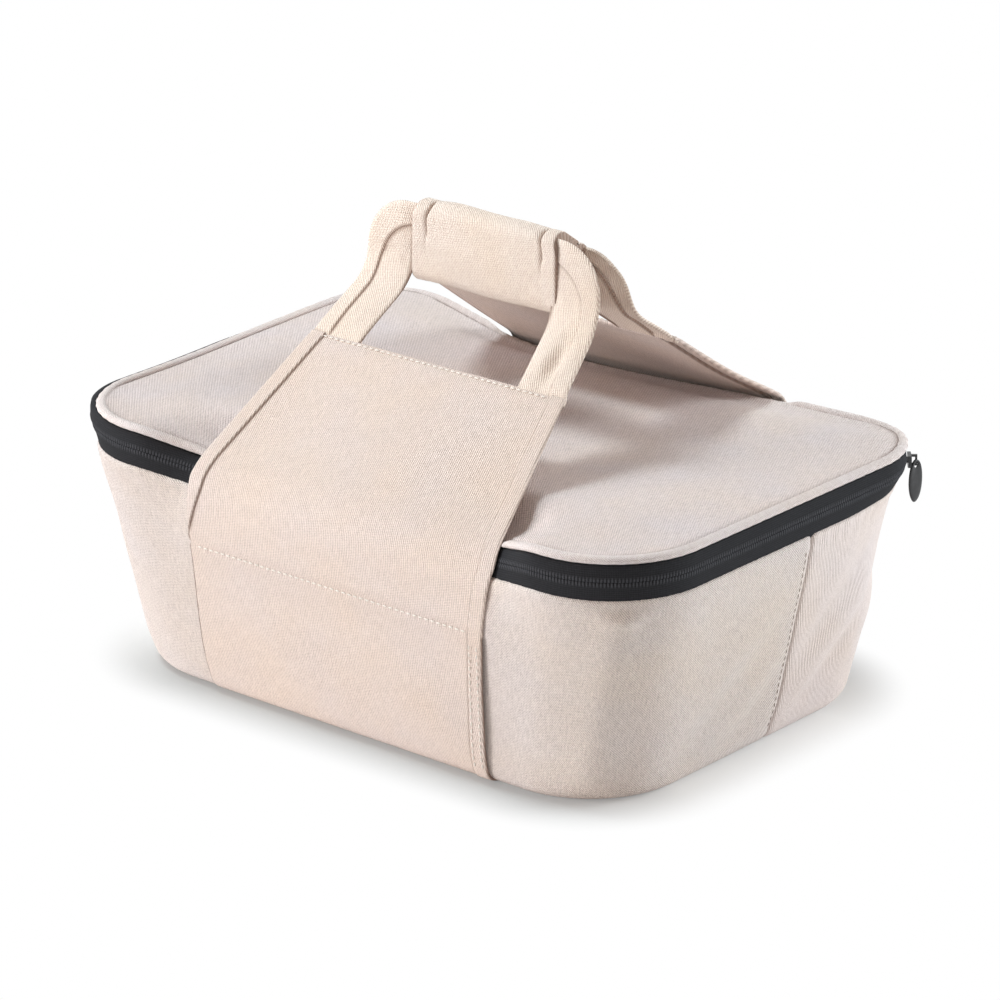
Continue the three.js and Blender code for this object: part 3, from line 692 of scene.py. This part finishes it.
# Zip: a reverse coil zip. Two black woven tapes meet at the zip line with their coils hidden behind;
# the lower one is sewn into the wall's top seam and the upper one into the lid's edge.
ZIP_LINE = 0.1395
PARTING = 0.0002
ZIP_END = 0.1458
COIL_PITCH = 0.0016
COIL_RADIUS = 0.0008
COIL_INSET = 0.0034
COIL_APART = 0.0014
COIL_COLOURS = ((0.012, 0.012, 0.013, 1), (0.035, 0.035, 0.037, 1))
TAPE_LIP = ((0.0007, 0.0036), (0.0003, 0.0026), (0.0002, 0.0016), (0.0003, 0.0008), (0.0004, PARTING / 2))
LOWER_TAPE = [(0.0016, WALL_TOP - 0.004), (0.0012, WALL_TOP), (0.0009, WALL_TOP + 0.0035)]
LOWER_TAPE += [(inset, ZIP_LINE - away) for inset, away in TAPE_LIP]
UPPER_TAPE = [(inset, ZIP_LINE + away) for inset, away in TAPE_LIP[::-1]]
UPPER_TAPE += [(0.0009, LID_EDGE - 0.0045), (0.0011, LID_EDGE - 0.0022), (0.0018, LID_EDGE - 0.0008)]
end_share = ZIP_END / (MOUTH_HALF[0] - CORNER)
ZIP_RUN = ((-end_share, 1, 90), (-1, 1, 90), (-1, 1, 180), (-1, -1, 180), (-1, -1, 270), (1, -1, 270),
           (1, -1, 360), (1, 1, 360), (1, 1, 450), (end_share, 1, 450))
zip_stations = run(ZIP_RUN, (3, 40, 70, 40, 150, 40, 70, 40, 3))


def zip_half(name, section, ends_at_line, node, body):
    """One tape of the zip: its section carried along the zip's run, with its woven coordinates
    measured from the zip line."""
    points = carried(zip_stations, section)
    flat = on_sheet(points)
    if ends_at_line:
        flat = stacked(flat[..., 0], flat[-1:, :, 1] - flat[..., 1])
    tape = cloth(name, [(points, flat, False)], zip_tape, thickness=0.0007)
    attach(tape, body)
    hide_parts(node)


zip_half("lower_zip_tape_cloth", LOWER_TAPE, True, "lower_zip_tape", "body")
zip_half("upper_zip_tape_cloth", UPPER_TAPE, False, "upper_zip_tape", "lid")


def coil(name, z, node, body):
    """A coil as a tube behind the tape's edge whose girth swells once a turn."""
    steps = run(ZIP_RUN, (3, 200, 210, 200, 560, 200, 210, 200, 3))
    line = box_face(steps, z, COIL_INSET)
    along = lengths(line[None], 1)[0]
    pace = np.arange(0, along[-1], COIL_PITCH / 3)
    line = picked(pace, along, line)
    up = np.array((0, 0, 1.0))
    out = unit(np.cross(unit(np.gradient(line, axis=0)), up))[:, None]
    turn = np.arange(6)[::-1, None] * np.pi / 3
    girth = COIL_RADIUS * (1 + 0.35 * np.sin(2 * np.pi * pace / COIL_PITCH))[:, None, None]
    points = line[:, None] + girth * (out * np.cos(turn) + up * np.sin(turn))
    piece = cloth(name, [(points, points[..., :2], True)], coil_finish, caps=(0, -1))
    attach(piece, body)
    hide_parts(node)


coil_finish = speckled("coil_black", *COIL_COLOURS, 500.0, 3.0, rough=(0.35, 0.25),
                       Specular_IOR_Level=0.5)
coil("lower_coil", ZIP_LINE - COIL_APART, "lower_zip_teeth", "body")
coil("upper_coil", ZIP_LINE + COIL_APART, "upper_zip_teeth", "lid")

HINGE_TALL = LID_EDGE - WALL_TOP + 0.0020
hinge_share = np.linspace(0, 1, 18)
hinge_inset = 0.0016 - 0.0009 * np.sin(np.pi * hinge_share)
hinge_stations = run(((end_share, 1, 90), (-end_share, 1, 90)), (120,))
hinge_points = carried(hinge_stations, stacked(hinge_inset, WALL_TOP - 0.003 + hinge_share * HINGE_TALL))
hinge_grid = (hinge_points, on_sheet(hinge_points), False)
hinge = cloth("hinge_cloth", [hinge_grid], plain_tape, thickness=0.0008)
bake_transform(hinge)
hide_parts("hinge_strip_lower", "hinge_strip_upper")


# Lid: padded canvas sewn into a rolled self-fabric edge, with a crease behind the roll. Its
# long edges are drawn down where the handle panels pull across them.
ROLL_WIDTH = 0.0062
ROLL_HEIGHT = 0.0046
ROLL_LOW = 0.1492
ROLL_PRESSED = 0.75
ROLL_PUCKERS = 144
LID_CROWN = 0.0030
LID_PAD = 0.0062
LID_LINING = 0.1442
LID_COOL_LIT_COLOUR = (0.810, 0.710, 0.685)
ROLL_LIT_COLOUR = (0.875, 0.762, 0.735)
roll_turn = np.linspace(0, 2 * np.pi, 15)[:-1, None] - 2.0
roll_stations = run(RING, (60, 40, 150, 40, 60, 40, 150, 40))
roll_ring = roll_stations[:-1]
roll_edge = box_face(roll_stations, LID_EDGE, 0.0)
roll_along = lengths(roll_edge[None], 1)
edge_x, edge_y = roll_edge[:-1, 0], roll_edge[:-1, 1]
roll_wave = 0.00025 * np.sin(roll_along[:, :-1] / roll_along[:, -1:] * 2 * np.pi * ROLL_PUCKERS)
roll_inset = ROLL_WIDTH / 2 - (ROLL_WIDTH / 2 - roll_wave) * np.cos(roll_turn)
roll_free = 1 - ROLL_PRESSED * fade(np.abs(edge_x), 0.100, 0.116) * (np.abs(edge_y) > 0.1)
roll_z = ROLL_LOW + ROLL_HEIGHT / 2 * (1 + np.sin(roll_turn)) * roll_free
roll_points = box_face(roll_ring, roll_z, roll_inset)
roll_points = np.r_[roll_points, roll_points[:1]]
# The lid's canvas is a little cooler than the walls': partly its own colour, partly a painted cool cast
# from the lamp above.
cool_lit_lid_canvas = canvas("cool_lit_lid_canvas", LID_COOL_LIT_COLOUR, 1.0, deep=(0.60, 0.57, 0.56))
# The roll is the lid's own cloth in a lighter colour: painted light on the rounded edge.
lit_roll_canvas = canvas("lit_roll_canvas", ROLL_LIT_COLOUR, 1.0)
roll = cloth("lid_edge_roll_canvas", [(roll_points, on_sheet(roll_points, True), True)], lit_roll_canvas)
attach(roll, "lid")
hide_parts("lid_edge_roll")


def lid_sheet(shares, edge_inset, height):
    """A sheet across the lid: the edge's ring at its inset, drawn towards the middle by each share
    and lifted to height(x, y, distance in from the edge), then pulled in and down by the panels."""
    x, y = [edge * (1 - shares)[:, None] for edge in outline(roll_ring, LID_EDGE, edge_inset)]
    inside = np.minimum(MOUTH_HALF[0] - np.abs(x), MOUTH_HALF[1] - np.abs(y))
    return drawn_in(x, y, height(x, y, inside))


def lid_height(x, y, inside):
    """The lid's top: a quick rise out of the crease behind the roll, a low crown and slow waves."""
    waves = 0.0006 * (np.sin(23 * x + 11 * y) + np.sin(37 * y - 19 * x + 0.8))
    rise = smooth(inside, ROLL_WIDTH - 0.001, 0.0095) * 0.0022 + smooth(inside, 0.01, 0.055) * LID_CROWN
    return LID_EDGE + 0.0008 + rise + waves * smooth(inside, 0.012, 0.05)


def under_height(x, y, inside):
    """The underside of the padding, which thins out to nothing at the edge."""
    return lid_height(x, y, inside) - LID_PAD * smooth(inside, 0.004, 0.009)


def lining_height(x, y, inside):
    """The lid's lining: flat, and a little higher away from the edge."""
    return LID_LINING + 0.002 * smooth(inside, 0.008, 0.05)


lid_shares = np.r_[0:0.08:12j, 0.09:0.30:16j, 0.33:0.985:26j]
lid_above = lid_sheet(lid_shares, ROLL_WIDTH - 0.0012, lid_height)
lid_under = lid_sheet(lid_shares, ROLL_WIDTH - 0.0002, under_height)
lid_points = np.r_[lid_under[::-1], lid_above]
lid_rows = np.r_[lid_shares[::-1], lid_shares][:, None]
# Painted shade in the crease behind the roll, weaker where the panels press the roll down and along the
# front.
painted_crease_shade = 0.8 * roll_free * fade(lid_rows, 0.002, 0.011) * (1 - 0.8 * smooth(-edge_y, 0.09, 0.13))
lid_grid = (lid_points, lid_points[..., :2], True, painted_crease_shade)
lid_top = cloth("lid_top_canvas", [lid_grid], cool_lit_lid_canvas, caps=(0, -1))
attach(lid_top, "lid")
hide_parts("lid_top", "lid_foam")

lining_shares = np.r_[0:0.06:6j, 0.08:0.985:34j]
lining_points = lid_sheet(lining_shares, 0.0085, lining_height)[:, ::-1]
lining_grid = (lining_points, lining_points[..., :2], True)
lid_lining = cloth("lid_lining_cloth", [lining_grid], lining, thickness=LINING_THICK, caps=(-1,))
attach(lid_lining, "lid")
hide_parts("lid_lining")


# Handle panels: one long piece of doubled canvas on each side, sewn to the wall up to a stitch row,
# free above it, with turned edges, a hem under the hand opening and two arms that go into the grip.
PANEL_COLOUR = (0.785, 0.662, 0.598)
GRIP_LIT_COLOUR = (0.925, 0.745, 0.655)
CREAM_THREAD = (0.93, 0.86, 0.79)
PANEL_THICK = 0.0022
PANEL_LIFT = 0.0026
STRIP = 0.0102
STRIP_RISE = 0.0012
STRIP_FADE = 0.040
FOOT_HALF = 0.1030
STITCH_HALF = 0.1080
FRONT_BEND_HALVES = (0.1115, 0.1115)
BACK_BEND_HALVES = (0.0960, 0.1035)
HEM_HALF = 0.0925
TURN_HALF = 0.0865
STRAP_HALF = 0.0838
WINDOW_TOP = 0.0500
FRONT_WINDOW = (0.0578, 0.0520)
BACK_WINDOW = (0.0510, 0.0440)
STRAP_OUT = 0.0108
FRONT_STRAP_TOP = 0.2718
BACK_STRAP_TOP = 0.2622
STRAP_LOW = 0.2350
STRAP_END = 0.0460
STRAP_ROUND = 0.0285
ARM_WIDTH = 0.030
ARM_THICK = 0.0018
FRONT_LINE = ((0.1406, STITCH_HEIGHT), (0.1382, 0.1312), (0.0145, 0.2280), (STRAP_OUT, FRONT_STRAP_TOP))
BACK_LINE = ((0.1406, STITCH_HEIGHT), (0.1372, 0.1455), (0.0145, 0.2290), (STRAP_OUT, BACK_STRAP_TOP))
ROW_OUT = 0.1401
EDGE_STEPS = np.array([0, 0.3, 0.7, 1.2, 2.2, 4.5, 7, 9, 9.6, 10.0, 10.4, 10.9, 12, 15]) * 0.001
HEM_STEPS = np.array([6, 4, 2.5, 1.5, 0.8, 0.4, 0]) * 0.001
panel_canvas = canvas("panel_canvas", PANEL_COLOUR, 0.15)
# The grip and arms are the panels' cloth in a lighter colour: painted light for the brighter light on
# them.
lit_grip_canvas = canvas("lit_grip_canvas", GRIP_LIT_COLOUR, 0.42)
cream_thread = thread("cream_thread", CREAM_THREAD)


def filleted(points, radii, straight_steps, round_steps):
    """A line of straight legs with round bends: each inner point is replaced by an arc of its radius
    that touches both legs. Every leg and every arc gets its own count of steps."""
    points = [np.array(p, float) for p in points]
    start = points[0]
    t = np.linspace(0, 1, round_steps, endpoint=False)[:, None]
    out = []
    for before, here, after, radius in zip(points, points[1:], points[2:], radii):
        one, two = unit(before - here), unit(after - here)
        half = np.arccos(np.clip(one @ two, -1, 1)) / 2
        reach = radius / np.tan(half)
        centre = here + unit(one + two) * radius / np.sin(half)
        a, b = here + one * reach - centre, here + two * reach - centre
        span = np.pi - 2 * half
        arc = centre + (np.sin((1 - t) * span) * a + np.sin(t * span) * b) / np.sin(span)
        out += [np.linspace(start, centre + a, straight_steps, endpoint=False), arc]
        start = centre + b
    return np.concatenate(out + [np.linspace(start, points[-1], straight_steps + 1)])


class Panel:
    """One handle panel's middle line and its surface. Places on the cut are x across and s up from
    the stitch row; place() carries them onto the line, lifted along its outward normal. It is as wide
    at the bend as bend_halves to each side, and window is half the hand opening's width at the hem
    and how far out the hem lies. The back panel follows the dent in the lid's back edge."""

    def __init__(self, side, line, bend_round, bend_halves, window):
        self.side = side
        self.window_low, hem_out = window
        self.line = filleted(line, (bend_round, 0.030), 40, 20)
        self.along = lengths(self.line[None], 1)[0]
        way = unit(np.gradient(self.line, axis=0))
        self.normal = stacked(way[:, 1], -way[:, 0])
        self.top = self.along[-1]
        self.bend = np.linalg.norm(np.subtract(line[1], line[0]))
        self.hem = np.interp(-hem_out, -self.line[:, 0], self.along)
        self.turn = self.top - np.linalg.norm(np.subtract(line[3], line[2]))
        self.marks = [0, self.bend, self.hem, self.turn, self.top]
        self.halves = [[STITCH_HALF, at_bend, HEM_HALF, TURN_HALF, STRAP_HALF] for at_bend in bend_halves]

    def half(self, s, side):
        """Half the width at s, on the cut's low side (-1) or high side (1)."""
        return np.interp(s, self.marks, self.halves[side > 0])

    def place(self, x, s, lift):
        columns = (*self.line.T, *self.normal.T)
        out, z, n_out, n_z = [np.interp(s, self.along, column) for column in columns]
        out = out + n_out * lift
        if self.side > 0:
            out = out - (back_dent(-x) - BACK_DRAWN) * hump(s, self.bend + 0.004, 0.034)
        return stacked(-self.side * x, self.side * out, z + n_z * lift)

    def facing(self, s):
        """The outward normal at s."""
        n_out, n_z = picked(s, self.along, self.normal).T
        return stacked(0.0, self.side * n_out, n_z)


def across(low_half, high_half, left, right):
    """Places across a panel row by row, with close steps at the turned edges, whose strips are left
    and right wide, and the distance of each place from the nearer edge."""
    middle = np.linspace(0, 1, 60)[1:-1]
    low = -low_half + EDGE_STEPS * np.maximum(left / STRIP, 0.15)
    high = high_half - EDGE_STEPS[::-1] * np.maximum(right / STRIP, 0.15)
    x = np.concatenate([low, low[:, -1:] + (high[:, :1] - low[:, -1:]) * middle, high], -1)
    return x, np.minimum(low_half + x, high_half - x)


def turned_edge(distance, width):
    """Lift of a turned edge: a flat strip as wide as the turning, ending in a sharp step inside and
    rounded off at the outer edge."""
    strip = STRIP_RISE * fade(distance, width - 0.0005, width + 0.0002)
    return strip - 0.0011 * fade(distance, -0.0004, 0.0013)


def edge_shade(distance, width, dark):
    """Painted shade in the step beside a strip, gone where the strip has no width."""
    return dark * hump(distance, width + 0.0003, 0.0005) * smooth(width, 0.0, 0.002)


def sewn_half(z):
    """Half the width of a panel's sewn part, which widens evenly from the foot to the stitch row."""
    return FOOT_HALF + (STITCH_HALF - FOOT_HALF) * z / STITCH_HEIGHT


def on_wall(side, x, z, inset, lift):
    """Places x across and z up the sewn part: the wall's outside at the foot's inset, set out by its
    relief, by the panel, which lies closer at the foot, and by lift."""
    station = stacked(-side * x / (half_sizes(z)[0] - CORNER), float(side), 270.0 if side < 0 else 90.0)
    settled = PANEL_LIFT * (0.55 + 0.45 * smooth(z, 0, 0.03))
    return box_face(station, z, inset - wall_relief(station, z) - (settled + lift))


def panel_field(panel):
    """The sewn part and the free part up to the hem as one sheet, foot first: rows up the wall by its
    foot profile, then along the panel's line. The left strip runs out at the stitch row. Painted shade
    lies in the steps beside the strips, in a dark line along the sewn part's outer edges, and along the
    free part's edges just above the stitch row."""
    z, inset = [column[:-1, None] for column in foot_profile(STITCH_HEIGHT, 0.0024, FOOT)]
    sewn_x, distance = across(sewn_half(z), sewn_half(z), 0 * z, STRIP + 0 * z)
    width = np.where(sewn_x > 0, STRIP, 0.0)
    sewn = on_wall(panel.side, sewn_x, z, inset, turned_edge(distance, width))
    to_line = panel.line[0, 0] - half_sizes(STITCH_HEIGHT)[1] - PANEL_LIFT
    sewn[..., 1] += panel.side * smooth(z, 0.055, STITCH_HEIGHT) * to_line
    sewn_edge_shade = fade(distance, 0.0003, np.where(sewn_x > 0, 0.0011, 0.0017))
    sewn_shade = edge_shade(distance, width, 0.95) + 0.85 * sewn_edge_shade
    s = np.r_[0:panel.hem - 0.008:66j, panel.hem - HEM_STEPS][:, None]
    left = STRIP * smooth(s, 0.0, STRIP_FADE)
    x, distance = across(panel.half(s, -1), panel.half(s, 1), left, STRIP + 0 * s)
    width = np.where(x > 0, STRIP, left)
    from_hem = panel.hem - s
    hem = -0.0009 * fade(from_hem, -0.0004, 0.0013) - 0.0004 * hump(from_hem, 0.0024, 0.0009)
    soft = 0.0012 * np.sin(x * 26 + 0.7) * np.sin(np.pi * (s / panel.hem))
    row_dip = -0.0009 * hump(s, 0.0, 0.0022)
    lift = turned_edge(distance, width) + hem + row_dip
    lift = lift + soft * smooth(distance, 0.0, 0.03) * smooth(s, 0, 0.03)
    free_shade = edge_shade(distance, width, np.where(x > 0, 0.45, 0.9))
    free_shade = free_shade + 0.5 * fade(distance, 0.0002, 0.0009) * fade(s, 0.0, 0.05)
    points = np.r_[sewn, panel.place(x, s, lift)]
    cut_x = np.r_[sewn_x, x]
    flat = stacked(cut_x, lengths(points, 0)[:, cut_x.shape[1] // 2][:, None])
    return points, flat, False, np.clip(np.r_[sewn_shade, free_shade], 0, 1)


def resampled(line, count):
    """A line walked at an even pace in count points."""
    walk = lengths(line[None], 1)[0]
    return picked(np.linspace(0, walk[-1], count), walk, line)


def arm_strip(panel, side):
    """One arm: a strip ruled between an inner line up the window's side and an outer line that turns
    over into the grip, both on the cut. It is plump, keeps the panel's turned edge, and is dimpled or
    pressed into a crease where it has been squeezed; inside the wrap it lies flat. Painted shade lies
    in the step beside the turned edge, along the window's edge and where the arm goes in under the wrap."""
    left = side < 0
    low = panel.hem - 0.004
    strap_low = panel.top - panel.line[-1, 1] + STRAP_LOW
    share = (low - panel.hem) / (panel.turn - panel.hem)
    inner_low = panel.window_low - (panel.window_low - WINDOW_TOP) * share
    outer_low = panel.half(low, side) - 0.0007
    inner = ((inner_low, low), (WINDOW_TOP, strap_low), (STRAP_END, strap_low))
    outer = ((outer_low, low), (STRAP_HALF + 0.001, strap_low - 0.008), (STRAP_HALF, panel.top),
             (STRAP_END, panel.top))
    inner = resampled(filleted(inner, (0.004,), 26, 10), 70)
    outer = resampled(filleted(outer, (0.05, STRAP_ROUND), 13, 12), 70)
    steps = np.append(EDGE_STEPS[:-1], 0.0140)
    t = np.r_[1 - steps / ARM_WIDTH, 0.49:0.03:12j, 0.015, 0]
    distance = (1 - t) * ARM_WIDTH
    from_window = t * np.linalg.norm(outer - inner, axis=-1)[:, None]
    x, s = [inner[:, k, None] + t * (outer - inner)[:, k, None] for k in (0, 1)]
    loose = smooth(x, 0.050, 0.060)
    above = s - panel.hem
    edge = turned_edge(distance, STRIP) * (0.4 + 0.6 * loose) * smooth(above, -0.001, 0.003)
    plump = 0.0013 * np.sin(np.pi * t) ** 0.7 * loose * smooth(above, 0.0, 0.020)
    tuck = -0.0004 * fade(above, 0.0, 0.006)
    rounded = -0.0009 * fade(from_window, 0, 0.0014) * smooth(above, -0.002, 0.006)
    if left:
        step_shade, window_shade = 0.85, 0.6
        dents = -0.0007 * hump(above, 0.060, 0.004) * hump(x, 0.070, 0.012)
    else:
        step_shade, window_shade = 0.45, 0.2
        dents = 0.0010 * hump(above, 0.021, 0.016) * hump(x, 0.065, 0.006)
        dents = dents - 0.0034 * hump(above, 0.019, 0.012) * hump(x, 0.0725, 0.0042)
    points = panel.place(side * x, s, edge + plump + tuck + rounded + dents)
    # Painted shade, darker on the left arm, whose steps face away from the high lamp on the left.
    shade = edge_shade(distance, STRIP, step_shade) * smooth(x, 0.050, 0.054)
    shade = shade + window_shade * fade(from_window, 0.0002, 0.0008)
    shade = shade + 0.7 * fade(x, 0.0515, 0.0540) * fade(s, strap_low + 0.024, strap_low + 0.032)
    columns = slice(None, None, 1 if left else -1)
    flat = stacked(side * x, s)
    return points[:, columns], flat[:, columns], False, np.clip(shade, 0, 1)[:, columns]


def panel_piece(panel, label):
    """A panel, which bends at its stitch row, and the two arms that rise from it."""
    handle = label + "_handle"
    field = panel_field(panel)
    piece = cloth(label + "_panel_cloth", [field], panel_canvas, thickness=PANEL_THICK)
    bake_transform(piece)
    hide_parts(label + "_panel_base", label + "_handle_panel")
    strips = [arm_strip(panel, 1), arm_strip(panel, -1)]
    arms = cloth(label + "_arms_cloth", strips, lit_grip_canvas, thickness=ARM_THICK)
    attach(arms, handle)


front_panel = Panel(-1, FRONT_LINE, 0.042, FRONT_BEND_HALVES, FRONT_WINDOW)
back_panel = Panel(1, BACK_LINE, 0.022, BACK_BEND_HALVES, BACK_WINDOW)
panel_piece(front_panel, "front")
panel_piece(back_panel, "back")


def panel_seams(panel):
    """The stitch line on the free panel, just under the hem's edge."""
    s = np.full(90, panel.hem - 0.0022)
    x = np.linspace(-1, 1, 90) * (panel.half(s, 1) - STRIP)
    return [(panel.place(x, s, 0.0), panel.facing(s))]


def sewn_seams(panel):
    """Stitch lines on the sewn part: the row across its top and two rows on the right strip."""
    side = panel.side
    x = np.linspace(-STITCH_HALF + 0.007, STITCH_HALF - STRIP - 0.001, 90)
    z = np.linspace(0.010, STITCH_HEIGHT - 0.004, 60)
    lines = [stacked(-side * x, side * ROW_OUT, STITCH_HEIGHT - 0.0008)]
    lines += [on_wall(side, sewn_half(z) - inside, z, 0.0, STRIP_RISE) for inside in (0.0026, 0.0080)]
    return [(line, np.tile((0, side, 0.0), (len(line), 1))) for line in lines]


for panel, label in ((front_panel, "front"), (back_panel, "back")):
    free = stitches(label + "_panel_stitches", panel_seams(panel), cream_thread)
    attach(free, label + "_handle")
    sewn = stitches(label + "_sewn_stitches", sewn_seams(panel), cream_thread)
    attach(sewn, "body")


# Grip: a padded canvas wrap that holds both arms' straps together and closes on itself with hook and
# loop tape. Each handle keeps its own half, so that they can part.
GRIP_HALF = 0.0525
GRIP_SHIFT = 0.0015
GRIP_LOW = 0.2268
GRIP_TOP = 0.2753
GRIP_THICK = 0.0150
GRIP_HEM = 0.0105
INNER_FACE = 0.0021
INNER_END = 0.0003
GRIP_STEPS = np.array([0.0, 0.3, 0.7, 1.3, 2.5, 4.5, 7, 8.6, 9.4, 9.9, 10.3, 10.7, 11.2, 12]) * 0.001
NAP_COLOURS = ((0.05, 0.05, 0.053, 1), (0.012, 0.012, 0.013, 1))
FRONT_SECTION = ((-0.0060, 0.2669), (GRIP_THICK, 0.2828), (GRIP_THICK, GRIP_LOW), (INNER_FACE, GRIP_LOW))
BACK_SECTION = ((INNER_END, 0.2662), (GRIP_THICK, 0.2640), (GRIP_THICK, GRIP_LOW), (INNER_FACE, GRIP_LOW))


def grip_section(corners):
    """The wrap's half in cross section, out and height, as a closed line: from the top, which slopes
    back over the middle, round the outside, back along the bottom and up the inner face."""
    outside = filleted(corners, (0.0080, 0.0070), 10, 14)
    (start, start_z), (end, end_z) = corners[:2]
    under = start_z + (INNER_FACE - start) / (end - start) * (end_z - start_z) - 0.0016
    inside = np.linspace((INNER_FACE, GRIP_LOW), (INNER_FACE, under), 12)[1:]
    lap = np.linspace((INNER_FACE, under), (start, start_z - 0.0012), 5)[1:]
    return np.r_[outside, inside, lap], len(outside) - 1, len(inside) + 1


def wrap_half(side, corners, name, nodes, body):
    """The wrap's half: its section carried along the grip, drawn in towards the top at both ends, with
    a groove beside each hem that deepens into a fold near the top, plump between, and closed at the
    ends, where the inner faces come together."""
    section, inner_start, inner_count = grip_section(corners)
    centre = np.array([0.0075, (GRIP_LOW + GRIP_TOP) / 2])
    ends = np.append(GRIP_HALF, GRIP_HALF - GRIP_STEPS)
    x = np.r_[-ends, -0.039:0.039:47j, ends[::-1]][:, None]
    from_end = GRIP_HALF - np.abs(x)
    height = section[None, :, 1]
    up = np.clip((height - GRIP_LOW) / (GRIP_TOP - GRIP_LOW), 0, 1)
    outside = smooth(section[None, :, 0], INNER_FACE, INNER_FACE + 0.004)
    folded = 0.08 + 0.92 * smooth(up, 0.45, 0.85)
    groove = -0.0026 * hump(from_end, GRIP_HEM, 0.0010) * folded
    plump = 0.0008 * smooth(from_end, GRIP_HEM, 0.03) * smooth(up, 0.05, 0.3)
    gathers = 0.0006 * np.sin(height * 2 * np.pi / 0.0135 + x * 60) * hump(from_end, GRIP_HEM, 0.011)
    slow = 0.0004 * np.sin(x * 95 + height * 60)
    rounded = -0.0008 * fade(from_end, -0.0003, 0.0014)
    swell = (groove + plump + gathers * smooth(up, 0.1, 0.8) + slow) * outside + rounded
    place = section[None] - centre
    points = centre + place * (1 + swell / np.linalg.norm(place, axis=-1))[..., None]
    inner = slice(inner_start, inner_start + inner_count)
    shut = smooth(np.abs(x), 0.0415, 0.0445)
    points[:, inner, 0] = INNER_FACE + (INNER_END - INNER_FACE) * shut
    points[[0, -1]] = centre + (points[[1, -2]] - centre) * 0.6
    drawn = 1 - 0.05 * smooth(points[..., 1], 0.262, 0.277)
    shaped = stacked(-side * x * drawn + GRIP_SHIFT, side * points[..., 0], points[..., 1])[:, ::-1]
    girth = np.r_[section[::-1], section[-1:]]
    flat = stacked(x, lengths(girth[None], 1))
    # Painted shade in the fold beside each hem near the top, and along the wrap's ends where it meets the
    # arms.
    shade = 0.8 * hump(from_end, GRIP_HEM, 0.0006) * smooth(up, 0.5, 0.75) * outside
    shade = shade + 0.75 * fade(from_end, 0.0001, 0.0009)
    grid = (shaped, flat, True, np.clip(shade, 0, 1)[:, ::-1])
    piece = cloth(name, [grid], lit_grip_canvas, caps=(0, -1))
    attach(piece, body)
    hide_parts(*nodes)


wrap_half(-1, FRONT_SECTION, "front_grip_wrap", ("grip_wrap", "grip_foam"), "front_handle")
wrap_half(1, BACK_SECTION, "back_grip_wrap_cloth", ("back_grip_wrap", "back_grip_foam"), "back_handle")


def fastener(name, scale, strength):
    """Hook and loop tape: black, a dense nap of hooks or loops."""
    material, tree = new_material(name)
    nap = tree.add("TexVoronoi", {"Vector": tree.add("TexCoord", out="Object"), "Scale": scale})
    raised = bumps(1 - nap, strength, 0.0008)
    shader(tree, Base_Color=nap.mix(*NAP_COLOURS), Roughness=0.75 + nap * 0.2, Normal=raised)
    return material


coat("hook_tape", fastener("hooks", 900.0, 0.9))
coat("loop_tape", fastener("loops", 1400.0, 0.6))


# Slider and pull: die-cast and coated black, running on the zip at the back right corner with the
# pull hanging from its bail.
ENAMEL_COLOURS = ((0.010, 0.010, 0.011, 1), (0.035, 0.035, 0.038, 1))
PULL_PLACE = np.array((0.2003, 0.1245, 0.1395))
PULL_FACING = np.radians(-5.0)
PULL_HALF = (0.0055, 0.0127)
PULL_DROP = 0.0120
PULL_EYE_HALF = (0.0016, 0.0018)
PULL_EYE_DROP = 0.0024
PULL_THICK = 0.0014
PULL_FRONT = np.array([(0, 0.5), (0.08, 0.8), (0.3, 0.9), (0.6, 1), (0.86, 0.95), (0.97, 0.6), (1, 0)])
PULL_PROFILE = np.r_[PULL_FRONT, PULL_FRONT[-2::-1] * (1, -1), PULL_FRONT[:1]]
enamel = speckled("black_enamel", *ENAMEL_COLOURS, 320.0, 4.0, rough=(0.28, 0.2), bump=(0.15, 0.0002),
                  Metallic=0.4, Coat_Weight=0.3)
coat("zip_slider", enamel)


def pull_plate():
    """The pull: an oval plate with an eye near its top. Rows go from the eye's rim out over the front
    to the outer rim and back behind; columns go round both ovals."""
    turn = np.linspace(0, 2 * np.pi, 49)[:-1]
    oval = stacked(np.cos(turn), np.sin(turn))
    rim = PULL_HALF * oval - (0, PULL_DROP)
    eye = PULL_EYE_HALF * oval - (0, PULL_EYE_DROP)
    share, offset = PULL_PROFILE.T[..., None, None]
    place = eye + share * (rim - eye)
    out = np.array((np.cos(PULL_FACING), np.sin(PULL_FACING), 0))
    side = np.array((-np.sin(PULL_FACING), np.cos(PULL_FACING), 0))
    flat = PULL_PLACE + place[..., :1] * side + place[..., 1:] * (0, 0, 1)
    return flat + offset * PULL_THICK / 2 * out


pull_points = pull_plate()
pull = cloth("zip_pull_plate", [(pull_points, pull_points[..., 1:], True)], enamel)
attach(pull, "pull")
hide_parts("zip_pull")
